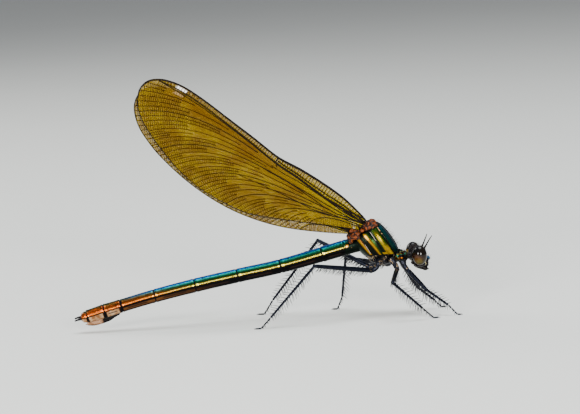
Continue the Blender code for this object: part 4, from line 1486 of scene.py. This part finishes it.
def rust_finish(colour):
    """Rust-brown leathery plates with dark creases."""
    finish = Finish("wing_base_rust", Specular_IOR_Level=0.15)
    plates = finish.cells(1.5, "DISTANCE_TO_EDGE")
    wave = finish.noise(2.5, 4.0)
    light = [min(part, 1.0) for part in dimmed(colour, 1.9)]
    tint = finish.ramp(wave, ((0.3, dimmed(colour, 0.4)), (0.5, colour), (0.72, light)))
    crease = (plates + (wave - 0.5) * 0.25).rise(0.17, 0.06)
    tint = finish.blend(crease * 0.95, tint, (0.006, 0.004, 0.004))
    height = plates.rise(0.0, 0.22) + wave * 0.4
    return finish.closed(tint, height, 0.08, 0.8, Roughness=wave * 0.3 + 0.3)


def membrane_finish(plan, pair, colour):
    """Amber film, browner behind the front veins, yellow at the root, and its mark near the tip."""
    finish = Finish(f"membrane_{pair}", Specular_IOR_Level=0.02)
    x, _, z = finish.axes()
    height = (x - plan.root.x) * plan.across.x + (z - plan.root.z) * plan.across.z
    out = finish.attribute("along")
    behind = finish.attribute("around")
    wave = finish.noise(0.35, 3.0)
    deep = [part * share for part, share in zip(colour, (0.62, 0.52, 0.7))]
    front = behind.rise(3.6, 1.2) * behind.rise(0.5, 1.0) * out.band(0.16, 0.86, 0.10)
    clear = out.rise(0.46, 0.12) * behind.rise(2.4, 1.3)
    along, across, half_along, half_across, mark_colour = WING_MARK[pair]
    slant = out + (height - across) * 0.012
    mark = slant.band(along - half_along, along + half_along, 0.002)
    mark = mark * height.band(across - half_across, across + half_across, 0.05)
    tint = finish.layers(finish.blend(wave.rise(0.35, 0.65), colour, deep), (
        (front * 0.7, (0.11, 0.045, 0.001)),
        (clear * 0.8, (0.30, 0.22, 0.0)),
        (mark, mark_colour),
    ))
    glimpse = slant.band(along - 0.035, along + 0.012, 0.006)
    glimpse = glimpse * height.band(across - 1.0, across - 0.3, 0.08)
    film = 0.44 + (wave - 0.5) * 0.30 + front * 0.14 - glimpse * 0.26
    return finish.closed(
        tint, finish.noise(2.6, 3.0), 0.05, 0.5,
        Alpha=film.at_least(mark * 0.97), Roughness=finish.noise(2.0, 2.0) * 0.25 + 0.25,
    )


def vein_finish(name, colour):
    finish = Finish(name, Metallic=0.5, Specular_IOR_Level=0.1)
    grain = finish.noise(1.5, 2.0)
    tint = finish.blend(grain, colour, dimmed(colour, 0.5))
    return finish.closed(tint, Roughness=grain * 0.2 + 0.3)


def hair_finish(name, root, tip):
    finish = Finish(name, Roughness=0.5, Specular_IOR_Level=0.2)
    return finish.closed(finish.blend(finish.noise(0.8, 2.0), root, tip))


def floor_finish(colour):
    """A plain pale floor with the faintest unevenness."""
    finish = Finish("studio_floor", Roughness=0.6, Specular_IOR_Level=0.2)
    return finish.closed(finish.blend(finish.noise(0.01, 2.0), colour, dimmed(colour, 0.97)))


class DamselflyBody(bpy.types.PropertyGroup):
    hair_length: bpy.props.FloatProperty(
        name="Hair length", description="Length of the soft hairs on head and thorax",
        default=0.50 * MM, unit="LENGTH", precision=5,
    )
    hair_count: bpy.props.IntProperty(
        name="Hairs", description="How many soft hairs stand on the thorax", default=900, min=0,
    )
    rust: bpy.props.FloatVectorProperty(
        name="Wing base", description="Colour of the plates at the wing roots", subtype="COLOR",
        size=3, default=(0.14, 0.030, 0.005), min=0.0, max=1.0,
    )


class DamselflyWings(bpy.types.PropertyGroup):
    film: bpy.props.FloatVectorProperty(
        name="Film", description="Colour of the membrane between the veins", subtype="COLOR",
        size=3, default=(0.25, 0.165, 0.005), min=0.0, max=1.0,
    )
    film_thickness: bpy.props.FloatProperty(
        name="Film thickness", description="Thickness of the membrane", default=0.03 * MM,
        unit="LENGTH", precision=6,
    )
    vein_radius: bpy.props.FloatProperty(
        name="Vein radius", description="Half the thickness of the strong front veins",
        default=0.085 * MM, unit="LENGTH", precision=6,
    )
    cell_length: bpy.props.FloatProperty(
        name="Vein spacing", description="Least distance between two long veins", default=0.36 * MM,
        unit="LENGTH", precision=6,
    )
    cell_width: bpy.props.FloatProperty(
        name="Cross-vein spacing", description="Distance between two cross-veins",
        default=0.26 * MM, unit="LENGTH", precision=6,
    )


class DamselflyLegs(bpy.types.PropertyGroup):
    bristle_length: bpy.props.FloatProperty(
        name="Bristle length", description="Length of the longest bristles on the shins",
        default=1.25 * MM, unit="LENGTH", precision=5,
    )
    bristle_radius: bpy.props.FloatProperty(
        name="Bristle radius", description="Half the thickness of a bristle at its root",
        default=0.048 * MM, unit="LENGTH", precision=6,
    )


class DamselflyStudio(bpy.types.PropertyGroup):
    floor: bpy.props.FloatVectorProperty(
        name="Floor", description="Colour of the floor", subtype="COLOR", size=3,
        default=(0.78, 0.79, 0.76), min=0.0, max=1.0,
    )
    light: bpy.props.FloatProperty(
        name="Light", description="Strength of the soft lights", default=1.0, min=0.0,
    )


class DAMSELFLY_OT_abdomen(bpy.types.Operator):
    """Builds the abdomen's skin, its tail appendages and the egg-laying blades"""

    bl_idname = "damselfly.abdomen"
    bl_label = "Abdomen"

    def execute(self, context):
        nodes = [f"abdomen_{number}" for number in range(1, len(SEGMENT_LENGTHS) + 1)]
        metal, blades = abdomen_finish(), ovipositor_finish()
        finish_piece("abdomen_skin", make_abdomen_skin(), metal, nodes)
        nodes = ["ovipositor"]
        finish_piece("ovipositor_blades", make_ovipositor(), blades, nodes)
        horn = horn_finish("black_horn", (0.010, 0.009, 0.010), 0.3)
        for side, sign in SIDES:
            name = f"cercus_{side}"
            finish_piece(f"{name}_horn", make_cercus(sign), horn, [name])
        return {"FINISHED"}


class DAMSELFLY_OT_thorax(bpy.types.Operator):
    """Builds the striped thorax, the prothorax with the neck, and the wing bases"""

    bl_idname = "damselfly.thorax"
    bl_label = "Thorax"

    def execute(self, context):
        metal, spotted = thorax_finish(), prothorax_finish()
        finish_piece("thorax_skin", make_thorax_skin(), metal, ["thorax"])
        first_ring = ["prothorax", "neck"]
        finish_piece("prothorax_skin", make_prothorax_skin(), spotted, first_ring)
        rust = rust_finish(tuple(context.scene.damselfly_body.rust))
        for pair in WING_BASES:
            mesh = make_wing_base(pair)
            finish_piece(f"wing_hinge_{pair}", mesh, rust, [f"wing_base_{pair}"])
        return {"FINISHED"}


class DAMSELFLY_OT_head(bpy.types.Operator):
    """Builds the head, its eyes, simple eyes, feelers and mouthparts"""

    bl_idname = "damselfly.head"
    bl_label = "Head"

    def execute(self, context):
        finish_piece("head_skin", make_head_skin(), head_finish(), ["head"])
        facets = eye_finish()
        horn = horn_finish("feeler_horn", (0.010, 0.008, 0.009), 0.35)
        for side, sign in SIDES:
            finish_piece(f"eye_{side}_facets", make_eye(sign), facets, [f"eye_{side}"])
            name = f"antenna_{side}"
            finish_piece(f"{name}_feeler", make_antenna(sign), horn, [name])
        upper, lower, jaws = make_mouthparts()
        dark = horn_finish("mouth_horn", (0.010, 0.008, 0.008), 0.35)
        finish_piece("labrum_lip", upper, lip_finish(), ["labrum"])
        finish_piece("labium_lip", lower, dark, ["labium"])
        finish_piece("mandibles", jaws, pale_finish())
        simple = gather([head_ball(place, OCELLUS_RADII, 24, 16) for place in OCELLI])
        finish_piece("ocelli", simple, simple_eye_finish())
        return {"FINISHED"}


class DAMSELFLY_OT_wings(bpy.types.Operator):
    """Builds the four wings, each a film with its strong veins and its net of fine ones"""

    bl_idname = "damselfly.wings"
    bl_label = "Wings"

    def execute(self, context):
        settings = context.scene.damselfly_wings
        black = vein_finish("vein_black", (0.010, 0.006, 0.004))
        brown = vein_finish("vein_brown", (0.032, 0.009, 0.001))
        for order, (pair, wing) in enumerate((("fore", FORE_WING), ("hind", HIND_WING))):
            film = membrane_finish(WingPlan(wing, 1), pair, tuple(settings.film))
            for side, sign in SIDES:
                plan = WingPlan(wing, sign)
                name = f"{pair}_{side}"
                mesh = make_membrane(plan, settings.film_thickness / MM)
                finish_piece(f"membrane_{name}", mesh, film, [f"wing_{name}"])
                strong, fine = wing_veins(plan, settings, 40 + order)
                thickness = settings.vein_radius / MM
                finish_piece(f"veins_{name}", threads(strong, thickness), black)
                finish_piece(f"net_{name}", threads(fine, thickness), brown)
        return {"FINISHED"}


class DAMSELFLY_OT_legs(bpy.types.Operator):
    """Builds the six jointed legs with their claws, and their rows of bristles"""

    bl_idname = "damselfly.legs"
    bl_label = "Legs"

    def execute(self, context):
        settings = context.scene.damselfly_legs
        cuticle = leg_finish()
        spine = hair_finish("bristle", (0.005, 0.005, 0.008), (0.014, 0.014, 0.018))
        for name in LEGS:
            node = f"leg_{name}"
            finish_piece(f"{node}_joints", make_leg(name), cuticle, [node])
            hairs = leg_bristles(name, settings.bristle_length / MM)
            hair_coat(f"{node}_bristles", hairs, settings.bristle_radius / MM, spine)
        return {"FINISHED"}


class DAMSELFLY_OT_hairs(bpy.types.Operator):
    """Sets soft hairs on the thorax, the prothorax and the head"""

    bl_idname = "damselfly.hairs"
    bl_label = "Soft hairs"

    def execute(self, context):
        settings = context.scene.damselfly_body
        length = settings.hair_length / MM
        down = hair_finish("soft_hair", (0.008, 0.007, 0.007), (0.030, 0.024, 0.020))

        def on_thorax(point, normal):
            back, _ = stripe_place(point.x, point.z)
            front = 0.25 * eased(-1.0, -1.7, back) + 0.7 * eased(0.5, 0.15, abs(point.y))
            under = 0.5 * eased(8.4, 7.8, point.z)
            return clamped(0.08 + front * eased(13.5, 14.5, point.x) + under)

        def on_saddle(point, normal):
            return 1.0 if point.x < 18.5 and normal.z > -0.5 else 0.1

        def on_head(point, normal):
            local = on_turned_head(point)
            if abs(local.y) > 1.3:
                return 0.0
            return clamped(0.12 + 0.9 * eased(0.2, 0.7, local.z) + 0.2 * eased(0.8, 1.4, local.x))

        # Each skin, the part of the hairs that it gets, their seed, length, lean and slot
        coats = (
            ("thorax", on_thorax, 1, 5, 1.0, (0.6, 0.0, 0.5), "body_green"),
            ("prothorax", on_saddle, 4, 6, 0.8, (0.6, 0.0, 0.5), "body_green"),
            ("head", on_head, 3, 7, 0.8, (0.3, 0.0, 0.5), "head_dark"),
        )
        for name, wanted, part, seed, scale, lean, slot in coats:
            skin = bpy.data.objects[f"{name}_skin"]
            count = settings.hair_count // part
            hairs = body_hairs(skin, count, seed, length * scale, wanted, Vector(lean))
            hair_coat(f"{name}_hairs", hairs, SOFT_HAIR_RADIUS, down)
        return {"FINISHED"}


class DAMSELFLY_OT_studio(bpy.types.Operator):
    """Sets up the floor, the soft lights and the camera"""

    bl_idname = "damselfly.studio"
    bl_label = "Studio"

    def execute(self, context):
        settings = context.scene.damselfly_studio
        mesh = bmesh.new()
        bmesh.ops.create_circle(mesh, segments=96, radius=FLOOR_RADIUS, cap_ends=True)
        data = mesh_data("floor", mesh)
        data.materials.append(floor_finish(tuple(settings.floor)).material)
        link_object("floor", data)
        self.add_world(settings.light)
        for name, place, size, power, colour in LIGHTS:
            self.add_light(name, Vector(place), size, power * settings.light, colour)
        self.add_camera(context.scene)
        return {"FINISHED"}

    def add_world(self, light):
        world = bpy.data.worlds.new("studio")
        bpy.context.scene.world = world
        world.use_nodes = True
        sky = world.node_tree.nodes["Background"]
        sky.inputs["Color"].default_value = WORLD_COLOUR
        sky.inputs["Strength"].default_value = WORLD_STRENGTH * light

    def add_light(self, name, place, size, power, colour):
        lamp = bpy.data.lights.new(name, "AREA")
        lamp.shape = "DISK"
        lamp.size = size
        lamp.energy = power
        lamp.color = colour
        made = link_object(name, lamp)
        made.location = place
        made.rotation_mode = "QUATERNION"
        made.rotation_quaternion = (LIGHT_TARGET - place).to_track_quat("-Z", "Y")

    def add_camera(self, scene):
        cos, sin = math.cos(VIEW_AZIMUTH), math.sin(VIEW_AZIMUTH)
        near, high = math.cos(VIEW_ELEVATION), math.sin(VIEW_ELEVATION)
        back = Vector((sin * near, -cos * near, high))
        level = Vector((cos, sin, 0.0))
        upright = back.cross(level)
        right = level * math.cos(VIEW_ROLL) - upright * math.sin(VIEW_ROLL)
        up = level * math.sin(VIEW_ROLL) + upright * math.cos(VIEW_ROLL)
        placed = Matrix((right, up, back)).transposed().to_4x4()
        placed.translation = (VIEW_TARGET + back * VIEW_DISTANCE) * MM
        lens = bpy.data.cameras.new("photo_view")
        lens.lens = VIEW_LENS
        lens.clip_start = 0.01
        lens.clip_end = 20.0
        camera = link_object("photo_view", lens)
        camera.matrix_world = placed
        scene.camera = camera


class DAMSELFLY_PT_panel(bpy.types.Panel):
    """Lists the sizes, the colours and the steps that build the damselfly"""

    bl_label = "Damselfly"
    bl_idname = "DAMSELFLY_PT_panel"
    bl_space_type = "VIEW_3D"
    bl_region_type = "UI"
    bl_category = "Damselfly"

    def draw(self, context):
        for group, steps in PANEL_ROWS:
            box = self.layout.box()
            settings = getattr(context.scene, group)
            for name in settings.bl_rna.properties.keys():
                if name not in ("rna_type", "name"):
                    box.prop(settings, name)
            for step in steps:
                box.operator(step.bl_idname)


PANEL_ROWS = (
    ("damselfly_body", (
        DAMSELFLY_OT_abdomen, DAMSELFLY_OT_thorax, DAMSELFLY_OT_head, DAMSELFLY_OT_hairs,
    )),
    ("damselfly_wings", (DAMSELFLY_OT_wings,)),
    ("damselfly_legs", (DAMSELFLY_OT_legs,)),
    ("damselfly_studio", (DAMSELFLY_OT_studio,)),
)
GROUPS = {
    "damselfly_body": DamselflyBody, "damselfly_wings": DamselflyWings,
    "damselfly_legs": DamselflyLegs, "damselfly_studio": DamselflyStudio,
}
STEPS = [step for _, steps in PANEL_ROWS for step in steps]
CLASSES = (*GROUPS.values(), *STEPS, DAMSELFLY_PT_panel)


def register():
    for each in CLASSES:
        bpy.utils.register_class(each)
    for name, group in GROUPS.items():
        setattr(bpy.types.Scene, name, bpy.props.PointerProperty(type=group))


def unregister():
    for name in GROUPS:
        delattr(bpy.types.Scene, name)
    for each in reversed(CLASSES):
        bpy.utils.unregister_class(each)


def main():
    register()
    bpy.ops.damselfly.studio()
    bpy.ops.damselfly.abdomen()
    bpy.ops.damselfly.thorax()
    bpy.ops.damselfly.head()
    bpy.ops.damselfly.wings()
    bpy.ops.damselfly.legs()
    bpy.ops.damselfly.hairs()


if __name__ == "__main__":
    main()
